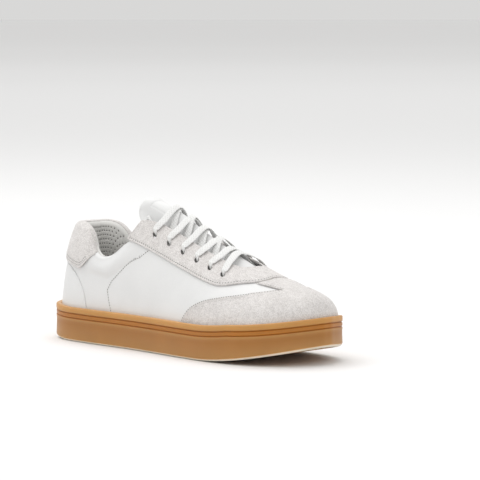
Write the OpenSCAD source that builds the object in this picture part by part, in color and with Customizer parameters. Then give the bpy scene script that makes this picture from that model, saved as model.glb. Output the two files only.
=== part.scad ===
// Court shoe, right foot: gum rubber cup sole, leather and suede upper, flat lace.
// +X runs to the toe, -Y is the outer (lateral) side, the ground is z = 0.
// Every panel of the upper is cut from one curved skin, skin(side, u, v):
// u walks the stations from the heel (0) to the toe (13), v climbs from the
// bottom of the upper (0) to the ridge over the instep (1), side is -1 or 1.

/* [Parts] */
// which sub-part to draw

/* [Sole] */
// height of the cup sole from the ground to its rim, at the heel and waist
rim_h = 29; // [22:0.5:34]
// height of the rim above the sprung toe tip
rim_toe_h = 24; // [18:0.5:30]
// rise of the toe off the ground
toe_spring = 14.5; // [6:0.5:20]
// thickness of the rubber under the foot
tread_t = 6; // [4:0.5:9]
// thickness of the cup's side wall
wall_t = 2.9; // [2.5:0.1:5]
// height of the foot deck above the tread
deck_h = 15.5; // [11:0.5:19]

/* [Upper] */
// thickness of the suede overlays
overlay_t = 1.3; // [0.9:0.1:1.8]
// thickness of the smooth quarters
quarter_t = 1.2; // [0.9:0.1:1.6]
// clearance between two layers
layer_gap = 0.35; // [0.25:0.05:0.6]
// thickness of the heel counter and the toe puff
stiff_t = 1; // [0.6:0.1:1.6]
// thickness of the textile lining
lining_t = 0.8; // [0.5:0.1:1.2]
// diameter of the punched lace holes
hole_d = 4.4; // [3.6:0.1:5.5]

/* [Lace] */
// width of the flat lace
lace_w = 6.6; // [5:0.2:9]
// thickness of the flat lace
lace_t = 1.2; // [0.9:0.1:1.6]

/* [Hidden] */

// the stations: sole outline x, lateral y, medial y, then the ridge point x, y, z,
// then the rise, the lean and the ridge run of the skin's cross section
ST = [
    [-150.0,   0.0,  0.0, -100, 0.0, 150.0, 45,  1, 20],
    [-147.0, -15.0, 15.0, -100, 0.0, 150.0, 45,  1, 20],
    [-138.0, -28.0, 27.0,  -98, 0.0, 150.0, 47,  1, 20],
    [-118.0, -37.0, 34.5,  -92, 0.0, 148.0, 51,  0, 20],
    [ -85.0, -40.5, 36.0,  -77, 0.0, 144.0, 53, -1, 20],
    [ -45.0, -42.0, 34.5,  -48, 0.0, 126.5, 44,  0, 22],
    [  -5.0, -45.5, 36.5,  -13, 0.0, 110.5, 37,  2, 20],
    [  35.0, -51.0, 44.0,   22, 1.0,  95.0, 31,  4, 21],
    [  70.0, -54.0, 50.0,   55, 2.0,  81.0, 28,  5, 23],
    [  98.0, -51.5, 50.0,   82, 2.0,  70.0, 26,  5, 25],
    [ 122.0, -42.5, 43.5,  104, 2.0,  63.0, 25,  5, 25],
    [ 140.0, -27.0, 30.0,  119, 2.0,  59.0, 23,  4, 22],
    [ 149.0,  -8.0, 10.0,  127, 1.5,  57.5, 21,  3, 17],
    [ 150.5,   1.0,  1.0,  129, 1.0,  57.0, 20,  2, 15]];
LAST = len(ST) - 1;
// the upper stands this far inside the sole's outline
upper_in = wall_t + 1;
// steps per station round the sole and its boards
SOLE_STEP = 3;

// where each layer starts, measured down from the skin
quarter_d = overlay_t + layer_gap;
stiff_d = quarter_d + quarter_t + layer_gap;
lining_d = stiff_d + stiff_t + layer_gap;

// ---- curves -------------------------------------------------------------
function mix(a, b, t) = a + (b - a) * t;
function clamp(x, lo, hi) = min(max(x, lo), hi);
function unit(a) = a / norm(a);
function bend(p0, p1, p2, p3, t) =
    0.5 * (2 * p1 + (p2 - p0) * t + (2 * p0 - 5 * p1 + 4 * p2 - p3) * t * t
           + (3 * p1 - p0 - 3 * p2 + p3) * t * t * t);
// a smooth run through the values in list c, at position t counted in values
function run(c, t) =
    let (n = len(c) - 1, k = clamp(floor(t), 0, n - 1), a = c[k], b = c[k + 1])
    bend(k > 0 ? c[k - 1] : 2 * a - b, a, b, k + 2 <= n ? c[k + 2] : 2 * b - a, t - k);

// ---- sole outline -------------------------------------------------------
// station k of one side; the other side carries on past the heel and the toe
function rail(side, k) =
    k < 0 ? rail(-side, -k) :
    k > LAST ? rail(-side, 2 * LAST - k) :
    [ST[k][0], side < 0 ? ST[k][1] : ST[k][2]];
function edge(side, u) =
    let (k = clamp(floor(u), 0, LAST - 1))
    bend(rail(side, k - 1), rail(side, k), rail(side, k + 1), rail(side, k + 2), u - k);
function outward(side, u) =
    let (d = edge(side, min(u + 0.01, LAST)) - edge(side, max(u - 0.01, 0)))
    unit(side * [-d.y, d.x]);
function inset(side, u, in) = edge(side, u) - in * outward(side, u);

function ground(x) =
    toe_spring * pow(max(x - 50, 0) / 100, 1.8) + 2 * pow(max(-110 - x, 0) / 40, 2);
function rim(x) = ground(x) + mix(rim_h, rim_toe_h, clamp((x - 90) / 60, 0, 1));
function deck(x) = ground(x) + mix(deck_h, deck_h - 3, clamp((x - 90) / 60, 0, 1));

// ---- the skin of the upper ----------------------------------------------
function col(k) = [for (s = ST) s[k]];
RISE = col(6);
LEAN = col(7);
REACH = col(8);
RIDGE = [for (s = ST) [s[3], s[4], s[5]]];
function ridge(u) = run(RIDGE, clamp(u, 0, LAST));
// the upward normal along the ridge
function ridge_n(u) =
    let (d = ridge(u + 0.02) - ridge(u - 0.02))
    unit([-d.z, 0, max(d.x, 0.001)]);

// the four handles of the cross section at u
function section(side, u) =
    let (
        n = outward(side, u),
        e = inset(side, u, upper_in),
        p = [e.x, e.y, deck(e.x) + 0.6],
        q = ridge(u),
        flat = unit([p.x - q.x, p.y - q.y, 0]),
        nr = ridge_n(u),
        m = flat - nr * (flat * nr) * clamp((u - 4) / 2, 0, 1)
    )
    [p,
     p + [n.x * run(LEAN, u), n.y * run(LEAN, u), run(RISE, u)],
     q + m * run(REACH, u),
     q];
function along(s, v) =
    pow(1 - v, 3) * s[0] + 3 * pow(1 - v, 2) * v * s[1] + 3 * (1 - v) * v * v * s[2]
    + pow(v, 3) * s[3];
function skin(side, u, v) = along(section(side, u), v);
function skin_n(side, u, v) =
    let (
        w = min(v, 0.96),
        du = skin(side, min(u + 0.02, LAST), w) - skin(side, max(u - 0.02, 0), w),
        dv = skin(side, u, w + 0.02) - skin(side, u, max(w - 0.02, 0)),
        n = side * unit(cross(dv, du))
    )
    v > 0.96 ? unit(mix(n, ridge_n(u), (v - 0.96) / 0.04)) : n;
// the point a depth d under the skin
function under(side, u, v, d) = skin(side, u, v) - d * skin_n(side, u, v);

// ---- sheets -------------------------------------------------------------
// A sheet's half is a list of ribs. Each rib is a list of [u, v, outer depth,
// inner depth]; skin points are taken along the ribs and between them.
function rib_at(ribs, i, t) = run([for (r = ribs) run(r, t * (len(r) - 1))], i);
function half(side, ribs, step, cols, layer) =
    [for (i = [0 : (len(ribs) - 1) * step])
        [for (j = [0 : cols])
            let (c = rib_at(ribs, i / step, j / cols))
            under(side, clamp(c[0], 0, LAST), clamp(c[1], 0, 1), c[2 + layer])]];
// lateral ribs, then the medial ones back from the shared middle rib
function both(ribs, step, cols, layer) =
    let (
        a = half(-1, ribs, step, cols, layer),
        b = half(1, ribs, step, cols, layer),
        n = len(a) - 1
    )
    concat(a, [for (i = [n - 1 : -1 : 0]) b[i]]);
function thick(ribs, d, t) = [for (r = ribs) [for (c = r) [c[0], c[1], d, d + t]]];

function cells(g) =
    [for (i = [0 : len(g) - 2]) for (j = [0 : len(g[0]) - 2])
        each [[g[i][j], g[i + 1][j], g[i + 1][j + 1]], [g[i][j], g[i + 1][j + 1], g[i][j + 1]]]];
function flip(tris) = [for (t = tris) [t[2], t[1], t[0]]];
function band(a, b) =
    [for (i = [0 : len(a) - 2])
        each [[a[i], b[i], b[i + 1]], [a[i], b[i + 1], a[i + 1]]]];
function rev(a) = [for (i = [len(a) - 1 : -1 : 0]) a[i]];
function rim_loop(g) =
    concat([for (r = g) r[0]], [for (j = [1 : len(g[0]) - 1]) g[len(g) - 1][j]],
           [for (i = [len(g) - 2 : -1 : 0]) g[i][len(g[0]) - 1]],
           [for (j = [len(g[0]) - 2 : -1 : 0]) g[0][j]]);
module solid(tris) {
    polyhedron([for (t = tris) each t],
               [for (k = [0 : len(tris) - 1]) [3 * k, 3 * k + 1, 3 * k + 2]], convexity = 8);
}
// a closed sheet between an outer and an inner grid; turn it where the lateral
// ribs run towards the toe
module sheet(outer, inner, turn) {
    tris = concat(cells(outer), flip(cells(inner)), band(rim_loop(outer), rim_loop(inner)));
    solid(turn ? flip(tris) : tris);
}
module wrap(ribs, step, cols, turn = true) {
    sheet(both(ribs, step, cols, 0), both(ribs, step, cols, 1), turn);
}
module side_sheet(side, ribs, step, cols) {
    sheet(half(side, ribs, step, cols, 0), half(side, ribs, step, cols, 1), side < 0);
}

// ---- sole parts ---------------------------------------------------------
SOLE_U = [for (i = [0 : LAST * SOLE_STEP]) i / SOLE_STEP];
// closed ring of the outline: lateral heel to toe, medial toe to heel
function ring(in, h, top = false) =
    let (n = len(SOLE_U))
    concat(
        [for (k = [0 : n - 1]) ring_pt(-1, SOLE_U[k], in, h, top)],
        [for (k = [n - 2 : -1 : 1]) ring_pt(1, SOLE_U[k], in, h, top)]);
function ring_pt(side, u, in, h, top) =
    let (p = inset(side, u, in)) [p.x, p.y, (top ? rim(p.x) : ground(p.x)) + h];
function deck_ring(in, h) =
    [for (p = ring(in, 0)) [p.x, p.y, deck(p.x) + h]];
// the face that fills a ring, laid across from side to side
function lid(r) =
    let (n = len(r), m = n / 2)
    concat([[r[0], r[n - 1], r[1]]],
           [for (k = [1 : m - 2]) each [[r[k], r[n - k], r[n - k - 1]], [r[k], r[n - k - 1], r[k + 1]]]],
           [[r[m - 1], r[m + 1], r[m]]]);
function closed(r) = concat(r, [r[0]]);
// rings stacked from the bottom face to the top face
module stack(rings) {
    n = len(rings) - 1;
    solid(concat(flip(lid(rings[0])),
                 [for (k = [0 : n - 1]) each band(closed(rings[k]), closed(rings[k + 1]))],
                 lid(rings[n])));
}

// ---- panel ribs ---------------------------------------------------------
// quarter: bottom edge to its top edge, heel seam to toe seam
QUARTER = [
    [[0.04, 0], [0.04, 0.25], [0.04, 0.49]],
    [[1, 0], [1, 0.25], [1, 0.49]],
    [[2, 0], [2, 0.25], [2, 0.48]],
    [[2.8, 0], [2.8, 0.25], [2.8, 0.48]],
    [[3.4, 0], [3.4, 0.24], [3.4, 0.46]],
    [[3.8, 0], [3.8, 0.19], [3.8, 0.37]],
    [[4.2, 0], [4.2, 0.18], [4.2, 0.35]],
    [[4.6, 0], [4.6, 0.21], [4.6, 0.42]],
    [[5, 0], [5, 0.27], [5, 0.53]],
    [[5.6, 0], [5.6, 0.28], [5.6, 0.55]],
    [[6.6, 0], [6.6, 0.28], [6.6, 0.55]],
    [[7.6, 0], [7.6, 0.28], [7.6, 0.55]],
    [[8.4, 0], [8.4, 0.35], [8.3, 0.66]],
    [[9.2, 0], [9.1, 0.44], [8.9, 0.86]],
    [[10, 0], [9.9, 0.46], [9.7, 0.93]],
    [[11, 0], [10.9, 0.46], [10.7, 0.91]],
    [[12, 0], [11.9, 0.43], [11.6, 0.85]],
    [[12.94, 0], [12.85, 0.38], [12.5, 0.76]]];
EYESTAY = [
    [[4.85, 0.5], [4.95, 0.56], [5.05, 0.62]],
    [[5.15, 0.5], [5.22, 0.6], [5.3, 0.7]],
    [[5.7, 0.5], [5.75, 0.62], [5.8, 0.745]],
    [[6.4, 0.505], [6.4, 0.63], [6.4, 0.76]],
    [[7.1, 0.505], [7.1, 0.64], [7.1, 0.765]],
    [[7.75, 0.515], [7.7, 0.65], [7.7, 0.775]],
    [[8.3, 0.57], [8.25, 0.69], [8.2, 0.81]],
    [[9.02, 0.74], [8.76, 0.82], [8.5, 0.9]],
    [[9.45, 1], [9.02, 1], [8.6, 1]]];
FACING = [
    [[5.3, 0.585], [5.4, 0.7]],
    [[6, 0.59], [6, 0.735]],
    [[6.7, 0.59], [6.7, 0.745]],
    [[7.4, 0.595], [7.4, 0.75]],
    [[8.05, 0.63], [8, 0.775]]];
GUARD = [
    [[6.86, 0], [6.88, 0.06], [6.9, 0.12]],
    [[7.1, 0], [7.12, 0.14], [7.2, 0.27]],
    [[7.6, 0], [7.62, 0.19], [7.65, 0.36]],
    [[8.2, 0], [8.15, 0.22], [8.15, 0.43]],
    [[9, 0], [8.9, 0.26], [8.8, 0.52]],
    [[9.9, 0], [9.7, 0.33], [9.5, 0.63]],
    [[10.9, 0], [10.6, 0.43], [10.2, 0.78]],
    [[11.8, 0], [11.6, 0.6], [10.5, 0.88]],
    [[12.4, 0], [12.25, 0.72], [10.57, 0.94]],
    [[13, 0], [13, 0.85], [10.6, 1]]];
// the strip that runs back from the guard over the toes to the eyestay; its first
// rib only steers the curve and is dropped
STRIP = [
    [[9.5, 0.63], [8.85, 0.64]],
    [[10.2, 0.78], [9.15, 0.765]],
    [[10.5, 0.88], [9.4, 0.87]],
    [[10.57, 0.94], [9.51, 0.94]],
    [[10.6, 1], [9.54, 1]]];
HEEL_PANEL = [
    [[3.8, 0], [3.78, 0.05]],
    [[3.6, 0], [3.68, 0.14]],
    [[3.2, 0], [3.4, 0.22]],
    [[2.7, 0], [2.8, 0.255]],
    [[2, 0], [2, 0.28]],
    [[1, 0], [1, 0.3]],
    [[0, 0], [0, 0.31]]];
HEEL_TAB = [
    [[4, 0.335], [3.94, 0.355]],
    [[3.74, 0.3], [3.74, 0.385]],
    [[3.46, 0.28], [3.56, 0.44]],
    [[3.1, 0.285], [3.3, 0.48]],
    [[2.6, 0.295], [2.8, 0.495]],
    [[1.95, 0.31], [2, 0.495]],
    [[1, 0.325], [1, 0.5]],
    [[0, 0.335], [0, 0.505]]];
COUNTER = [
    [[3.5, 0.03], [3.4, 0.16]],
    [[3, 0.03], [3, 0.26]],
    [[2, 0.03], [2, 0.33]],
    [[1, 0.03], [1, 0.35]],
    [[0, 0.03], [0, 0.35]]];
PUFF = [
    [[10.3, 0.03], [10.2, 0.4], [10.3, 0.76]],
    [[11.5, 0.03], [11.4, 0.5], [10.8, 0.87]],
    [[12.3, 0.03], [12.2, 0.7], [10.95, 0.94]],
    [[13, 0.03], [13, 0.85], [11, 1]]];
VAMP_LINING = [
    [[5.04, 0.04], [5.05, 0.26], [5.08, 0.5]],
    [[5.4, 0.04], [5.4, 0.28], [5.4, 0.54]],
    [[6.2, 0.04], [6.2, 0.28], [6.2, 0.56]],
    [[7.2, 0.04], [7.2, 0.28], [7.2, 0.56]],
    [[8, 0.04], [8, 0.3], [8, 0.58]],
    [[9, 0.04], [8.9, 0.37], [8.5, 0.7]],
    [[10.4, 0.04], [10, 0.5], [8.75, 0.85]],
    [[11.7, 0.04], [11.5, 0.65], [8.85, 0.95]],
    [[12.4, 0.04], [12.25, 0.78], [8.88, 0.98]],
    [[13, 0.04], [13, 0.9], [8.9, 1]]];

// the hollow of the collar: outer skin depth to inner depth, tapering downwards
FOAM_TOP = stiff_d + 0.1;
function foam_rib(u, lo, hi) =
    [[u, lo, FOAM_TOP, FOAM_TOP + 1], [u, mix(lo, hi, 0.5), FOAM_TOP, FOAM_TOP + 4],
     [u, hi, FOAM_TOP, FOAM_TOP + 5]];
COLLAR_FOAM = [
    foam_rib(4.92, 0.34, 0.47), foam_rib(4.66, 0.28, 0.42), foam_rib(4.2, 0.22, 0.335),
    foam_rib(3.8, 0.24, 0.355), foam_rib(3.4, 0.3, 0.44), foam_rib(2.8, 0.36, 0.465),
    foam_rib(2, 0.39, 0.465), foam_rib(1, 0.4, 0.475), foam_rib(0, 0.4, 0.475)];
function cuff_rib(u, mid, hi) =
    [[u, 0.04, lining_d, lining_d + lining_t],
     [u, mid, lining_d + 0.2, lining_d + 0.2 + lining_t],
     [u, mix(mid, hi, 0.5), FOAM_TOP + 4.6, FOAM_TOP + 4.6 + lining_t],
     [u, hi, FOAM_TOP + 5.5, FOAM_TOP + 5.5 + lining_t]];
COLLAR_LINING = [
    cuff_rib(4.9, 0.29, 0.46), cuff_rib(4.6, 0.24, 0.4), cuff_rib(4.2, 0.19, 0.33),
    cuff_rib(3.8, 0.21, 0.35), cuff_rib(3.4, 0.26, 0.43), cuff_rib(2.8, 0.31, 0.46),
    cuff_rib(2, 0.34, 0.46), cuff_rib(1, 0.36, 0.47), cuff_rib(0, 0.36, 0.47)];

// tongue ribs run from the base at the toe end up to the free top edge
tongue_d = 6.2;
shell_t = 1.1;
foam_t = 4.2;
// lift raises a rib's free end, and swell raises it in the throat under the lace
function tongue_rib(base, mid, top, lift, swell) =
    [[base[0], base[1], tongue_d], [mid[0], mid[1], tongue_d - swell * 0.65],
     [mix(mid[0], top[0], 0.6), mix(mid[1], top[1], 0.6), tongue_d - swell],
     [top[0], top[1], tongue_d - lift]];
TONGUE = [
    tongue_rib([8.2, 0.84], [7, 0.66], [5.5, 0.62], 0, 0),
    tongue_rib([8.4, 0.88], [7, 0.71], [5.2, 0.66], 0.2, 0.2),
    tongue_rib([8.5, 0.93], [7, 0.8], [5.08, 0.74], 1, 1),
    tongue_rib([8.55, 0.97], [7, 0.9], [5.06, 0.87], 2.6, 2.8),
    tongue_rib([8.55, 1], [7, 1], [5.06, 1], 4, 6)];
function tongue_layer(d, t) = [for (r = TONGUE) [for (c = r) [c[0], c[1], c[2] + d, c[2] + d + t]]];

// ---- lace ---------------------------------------------------------------
// lace holes, from the ankle to the toe, on either side
HOLE_V = 0.63;
HOLES = [for (k = [0 : 5]) 5.62 + 0.456 * k];
// the lace's stops as [side, u, v, depth, width, thickness]
top_d = -0.2 - lace_t / 2;
low_d = quarter_d + 1 + layer_gap + lace_t / 2 + 0.1;
function over_hole(s, k) = [s, HOLES[k], HOLE_V - 0.005, top_d - 0.15, 3.4, 1.4];
function in_hole(s, k) = [s, HOLES[k], HOLE_V, 1.3, 2.4, 1.8];
function below_hole(s, k) = [s, HOLES[k], HOLE_V + 0.005, low_d, 3.4, 1.4];
// from under hole k on side s, over the throat and down into hole k - 1 opposite
// how far the run from hole k arches over the tongue
ARCH = [0, 5, 4.8, 3.6, 2.3, 1.2];
function climb(s, k, mid_d) = [
    [s, HOLES[k] - 0.1, 0.79, low_d, lace_w, lace_t],
    [0, HOLES[k] - 0.22, 1, mid_d - ARCH[k], lace_w, lace_t],
    [-s, HOLES[k - 1] + 0.12, 0.765, top_d - 0.65, lace_w, lace_t],
    over_hole(-s, k - 1), in_hole(-s, k - 1), below_hole(-s, k - 1)];
// where the lace's tucked-in end meets its aglet, and the depth of both
TIP = [5.21, 0.71];
TIP_D = 4;
function half_lace(s, mid_d) = concat(
    [[s, HOLES[5] + 0.02, 0.8, top_d - 1.1, lace_w, lace_t],
     over_hole(s, 5), in_hole(s, 5), below_hole(s, 5)],
    climb(s, 5, mid_d), climb(-s, 4, mid_d), climb(s, 3, mid_d), climb(-s, 2, mid_d),
    climb(s, 1, mid_d), [[-s, TIP[0], TIP[1] + 0.03, TIP_D, 2.2, 1.6]]);
STOPS = concat(rev(half_lace(1, -0.6)), [[0, HOLES[5], 1, -1.6, lace_w, lace_t]], half_lace(-1, 1.2));
function stop_pt(c) = under(c[0] == 0 ? 1 : c[0], c[1], c[2], c[3]);
function stop_n(c) = skin_n(c[0] == 0 ? 1 : c[0], c[1], c[2]);
LACE_LINE = [for (c = STOPS) stop_pt(c)];
LACE_SIDES = 8;
function lace_ring(k) =
    let (
        c = STOPS[k],
        n = len(STOPS) - 1,
        t = unit(LACE_LINE[min(k + 1, n)] - LACE_LINE[max(k - 1, 0)]),
        w = unit(cross(stop_n(c), t)),
        h = cross(t, w)
    )
    [for (i = [0 : LACE_SIDES - 1])
        let (a = 360 * (i + 0.5) / LACE_SIDES)
        LACE_LINE[k] + w * (c[4] / 2 * cos(a)) + h * (c[5] / 2 * sin(a))];
module tube(rings) {
    n = len(rings) - 1;
    function cap(r) = [for (i = [1 : len(r) - 2]) [r[0], r[i], r[i + 1]]];
    solid(concat(cap(rings[0]), flip(cap(rings[n])),
                 [for (k = [0 : n - 1]) each band(closed(rings[k]), closed(rings[k + 1]))]));
}
// a punch through the layers at lace hole k
module punch(side, k, deep) {
    hull()
        for (d = [-1, deep])
            translate(under(side, HOLES[k], HOLE_V, d))
                sphere(d = hole_d, $fn = 10);
}

// ---- modules ------------------------------------------------------------
module outsole() {
    color([0.72, 0.52, 0.32])
        stack(concat(
            [ring(3.2, 0), ring(1.2, 0.7), ring(0.3, 2.2), ring(0, 4), ring(0, -9.8, true),
             ring(0.7, -9.3, true), ring(0.7, -8.7, true), ring(0.2, -8.3, true),
             ring(0.2, -6.1, true), ring(0.7, -5.7, true), ring(0.7, -5.1, true),
             ring(0, -4.6, true), ring(0.1, -1.6, true), ring(0.7, -0.5, true),
             ring(1.6, 0, true), ring(2.6, -0.3, true), ring(wall_t, -1.4, true)],
            [ring(wall_t, tread_t)]));
}
module midsole() {
    color([0.9, 0.9, 0.88])
        stack([ring(wall_t + 0.9, tread_t + 0.3), deck_ring(wall_t + 0.9, -0.4)]);
}
board_in = upper_in + lining_d + lining_t + 0.5;
module lasting_board() {
    color([0.85, 0.8, 0.7])
        stack([deck_ring(board_in, 0), deck_ring(board_in, 1.6)]);
}
module footbed_foam() {
    color([0.8, 0.8, 0.8])
        stack([deck_ring(board_in + 0.6, 2), deck_ring(board_in + 0.2, 5.5)]);
}
module footbed_cover() {
    color([0.93, 0.92, 0.9])
        stack([deck_ring(board_in + 0.2, 5.8), deck_ring(board_in + 0.2, 6.8)]);
}
module quarter_lateral() {
    color([0.95, 0.95, 0.94]) side_sheet(-1, thick(QUARTER, quarter_d, quarter_t), 3, 6);
}
module quarter_medial() {
    color([0.95, 0.95, 0.94]) side_sheet(1, thick(QUARTER, quarter_d, quarter_t), 3, 6);
}
// steps between the guard's ribs, columns along them and along the strip's ribs
GUARD_STEP = 3;
GUARD_COLS = 6;
STRIP_COLS = 5;
// the guard's row whose top point starts the strip
STRIP_ROW = 6 * GUARD_STEP;
function guard(layer) = both(thick(GUARD, 0, overlay_t), GUARD_STEP, GUARD_COLS, layer);
// the guard's strip, sharing its first points with the guard's own grid
function strip(grid, layer) =
    let (
        s = both(thick(STRIP, 0, overlay_t), GUARD_STEP, STRIP_COLS, layer),
        n = len(s) - 1 - 2 * GUARD_STEP
    )
    [for (k = [0 : n])
        concat([grid[STRIP_ROW + k][GUARD_COLS]],
               [for (j = [1 : STRIP_COLS]) s[k + GUARD_STEP][j]])];
// the rim of the guard g with its strip s, starting along the sole
function guard_loop(g, s) =
    let (n = len(g) - 1, m = len(s) - 1, top = GUARD_COLS, far = STRIP_COLS)
    concat(
        [for (r = g) r[0]], [for (j = [1 : top]) g[n][j]],
        [for (k = [n - 1 : -1 : n - STRIP_ROW]) g[k][top]], [for (j = [1 : far]) s[m][j]],
        [for (k = [m - 1 : -1 : 0]) s[k][far]], [for (j = [far - 1 : -1 : 0]) s[0][j]],
        [for (k = [STRIP_ROW - 1 : -1 : 0]) g[k][top]],
        [for (j = [top - 1 : -1 : 0]) g[0][j]]);
module toe_guard() {
    o = guard(0);
    i = guard(1);
    so = strip(o, 0);
    si = strip(i, 1);
    color([0.88, 0.86, 0.84])
        solid(flip(concat(cells(o), cells(so), flip(cells(i)), flip(cells(si)),
                          band(guard_loop(o, so), guard_loop(i, si)))));
}
module eyestay() {
    color([0.88, 0.86, 0.84])
        difference() {
            wrap(thick(EYESTAY, 0, overlay_t), 2, 4);
            for (side = [-1, 1])
                for (k = [0 : len(HOLES) - 1])
                    punch(side, k, 3);
        }
}
module facing(side) {
    color([0.9, 0.9, 0.88])
        difference() {
            side_sheet(side, thick(FACING, quarter_d, 1), 2, 2);
            for (k = [0 : len(HOLES) - 1])
                punch(side, k, 4);
        }
}
module facing_lateral() {
    facing(-1);
}
module facing_medial() {
    facing(1);
}
module heel_panel() {
    color([0.93, 0.93, 0.92]) wrap(thick(HEEL_PANEL, 0, overlay_t), 2, 4, false);
}
module heel_tab() {
    color([0.88, 0.86, 0.84]) wrap(thick(HEEL_TAB, 0, overlay_t), 2, 4, false);
}
module heel_counter() {
    color([0.8, 0.75, 0.65]) wrap(thick(COUNTER, stiff_d, stiff_t), 3, 4, false);
}
module toe_puff() {
    color([0.8, 0.75, 0.65]) wrap(thick(PUFF, stiff_d, stiff_t), 4, 6);
}
module vamp_lining() {
    color([0.85, 0.85, 0.83]) wrap(thick(VAMP_LINING, lining_d, lining_t), 2, 6);
}
module collar_foam() {
    color([0.9, 0.85, 0.6]) wrap(COLLAR_FOAM, 2, 4, false);
}
module collar_lining() {
    color([0.82, 0.81, 0.79]) wrap(COLLAR_LINING, 2, 6, false);
}
module tongue_shell() {
    color([0.95, 0.95, 0.94]) wrap(tongue_layer(0, shell_t), 2, 10);
}
module tongue_foam() {
    color([0.9, 0.85, 0.6]) wrap(tongue_layer(shell_t + 0.3, foam_t), 2, 10);
}
module tongue_lining() {
    color([0.85, 0.85, 0.83]) wrap(tongue_layer(shell_t + foam_t + 0.6, lining_t), 2, 10);
}
module lace() {
    color([0.97, 0.97, 0.96]) tube([for (k = [0 : len(STOPS) - 1]) lace_ring(k)]);
}
// a crimped tip, lying under the eyestay's top corner
module aglet(side) {
    from = under(side, TIP[0], TIP[1], TIP_D);
    t = unit(under(side, TIP[0] - 0.06, 0.59, TIP_D) - from);
    color([0.95, 0.95, 0.95])
        translate(from)
            rotate([0, acos(t.z), atan2(t.y, t.x)])
                cylinder(h = 12, d = 2.4, $fn = 24);
}
module aglet_lateral() {
    aglet(-1);
}
module aglet_medial() {
    aglet(1);
}

outsole();
midsole();
lasting_board();
footbed_foam();
footbed_cover();
quarter_lateral();
quarter_medial();
toe_guard();
eyestay();
facing_lateral();
facing_medial();
heel_panel();
heel_tab();
heel_counter();
toe_puff();
vamp_lining();
collar_foam();
collar_lining();
tongue_shell();
tongue_foam();
tongue_lining();
lace();
aglet_lateral();
aglet_medial();
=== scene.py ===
"""Looks of the court shoe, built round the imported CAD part.

The upper's pieces are cut from the same curved skin as the CAD source: u walks the
stations from the heel (0) to the toe (13), v climbs from the bottom of the upper (0) to
the ridge over the instep (1), and a depth is measured down from the skin. Shapes are
worked out in the design's millimetres and turned into metres when a mesh is made.
"""

import math

import bmesh
import bpy
import numpy as np
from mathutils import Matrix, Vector, kdtree
from mathutils.geometry import delaunay_2d_cdt


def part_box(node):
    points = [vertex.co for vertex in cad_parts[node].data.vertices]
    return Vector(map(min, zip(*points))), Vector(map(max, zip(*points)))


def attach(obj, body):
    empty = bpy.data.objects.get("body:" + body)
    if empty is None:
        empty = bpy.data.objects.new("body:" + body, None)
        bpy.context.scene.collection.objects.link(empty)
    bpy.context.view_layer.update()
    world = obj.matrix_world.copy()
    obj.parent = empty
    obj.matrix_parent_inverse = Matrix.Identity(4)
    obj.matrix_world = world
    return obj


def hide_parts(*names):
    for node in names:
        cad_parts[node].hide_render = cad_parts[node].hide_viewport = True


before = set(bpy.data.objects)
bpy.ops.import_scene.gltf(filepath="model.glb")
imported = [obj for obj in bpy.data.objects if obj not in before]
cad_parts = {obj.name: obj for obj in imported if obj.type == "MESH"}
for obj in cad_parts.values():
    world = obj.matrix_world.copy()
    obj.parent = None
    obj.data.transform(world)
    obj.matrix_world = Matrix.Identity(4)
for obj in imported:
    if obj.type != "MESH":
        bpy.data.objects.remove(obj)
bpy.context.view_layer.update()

# ---- camera ----------------------------------------------------------------
CAMERA_AT = Vector((1.5467, -1.5467, 0.2849))
CAMERA_LOOKS = Vector((-0.6916, 0.7168, -0.0885))
LENS_MM = 198.4


def make_camera():
    data = bpy.data.cameras.new("camera")
    data.lens = LENS_MM
    data.sensor_width = 36
    data.clip_start = 0.1
    data.clip_end = 50
    cam = bpy.data.objects.new("camera", data)
    cam.location = CAMERA_AT
    cam.rotation_mode = "QUATERNION"
    cam.rotation_quaternion = CAMERA_LOOKS.to_track_quat("-Z", "Y")
    bpy.context.scene.collection.objects.link(cam)
    bpy.context.scene.camera = cam


make_camera()

# ---- the skin, as in the CAD source ----------------------------------------
# sole outline x, lateral y, medial y, ridge point x, y, z, rise, lean, ridge run
ST = np.array([
    [-150.0, 0.0, 0.0, -100, 0.0, 150.0, 45, 1, 20],
    [-147.0, -15.0, 15.0, -100, 0.0, 150.0, 45, 1, 20],
    [-138.0, -28.0, 27.0, -98, 0.0, 150.0, 47, 1, 20],
    [-118.0, -37.0, 34.5, -92, 0.0, 148.0, 51, 0, 20],
    [-85.0, -40.5, 36.0, -77, 0.0, 144.0, 53, -1, 20],
    [-45.0, -42.0, 34.5, -48, 0.0, 126.5, 44, 0, 22],
    [-5.0, -45.5, 36.5, -13, 0.0, 110.5, 37, 2, 20],
    [35.0, -51.0, 44.0, 22, 1.0, 95.0, 31, 4, 21],
    [70.0, -54.0, 50.0, 55, 2.0, 81.0, 28, 5, 23],
    [98.0, -51.5, 50.0, 82, 2.0, 70.0, 26, 5, 25],
    [122.0, -42.5, 43.5, 104, 2.0, 63.0, 25, 5, 25],
    [140.0, -27.0, 30.0, 119, 2.0, 59.0, 23, 4, 22],
    [149.0, -8.0, 10.0, 127, 1.5, 57.5, 21, 3, 17],
    [150.5, 1.0, 1.0, 129, 1.0, 57.0, 20, 2, 15]])
LAST = len(ST) - 1
UPPER_IN = 3.9
SIDES = (-1, 1)
# thickness of the suede overlays, and how deep the quarters lie under them
OVERLAY_T = 1.6
QUARTER_D = 1.65

# the design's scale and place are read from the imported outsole
SOLE_LO, SOLE_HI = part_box("outsole")
MM = (SOLE_HI.x - SOLE_LO.x) / (ST[LAST, 0] - ST[0, 0])
START_X = SOLE_LO.x - ST[0, 0] * MM


def to_frame(points):
    out = np.asarray(points, float) * MM
    out[..., 0] += START_X
    return out


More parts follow.
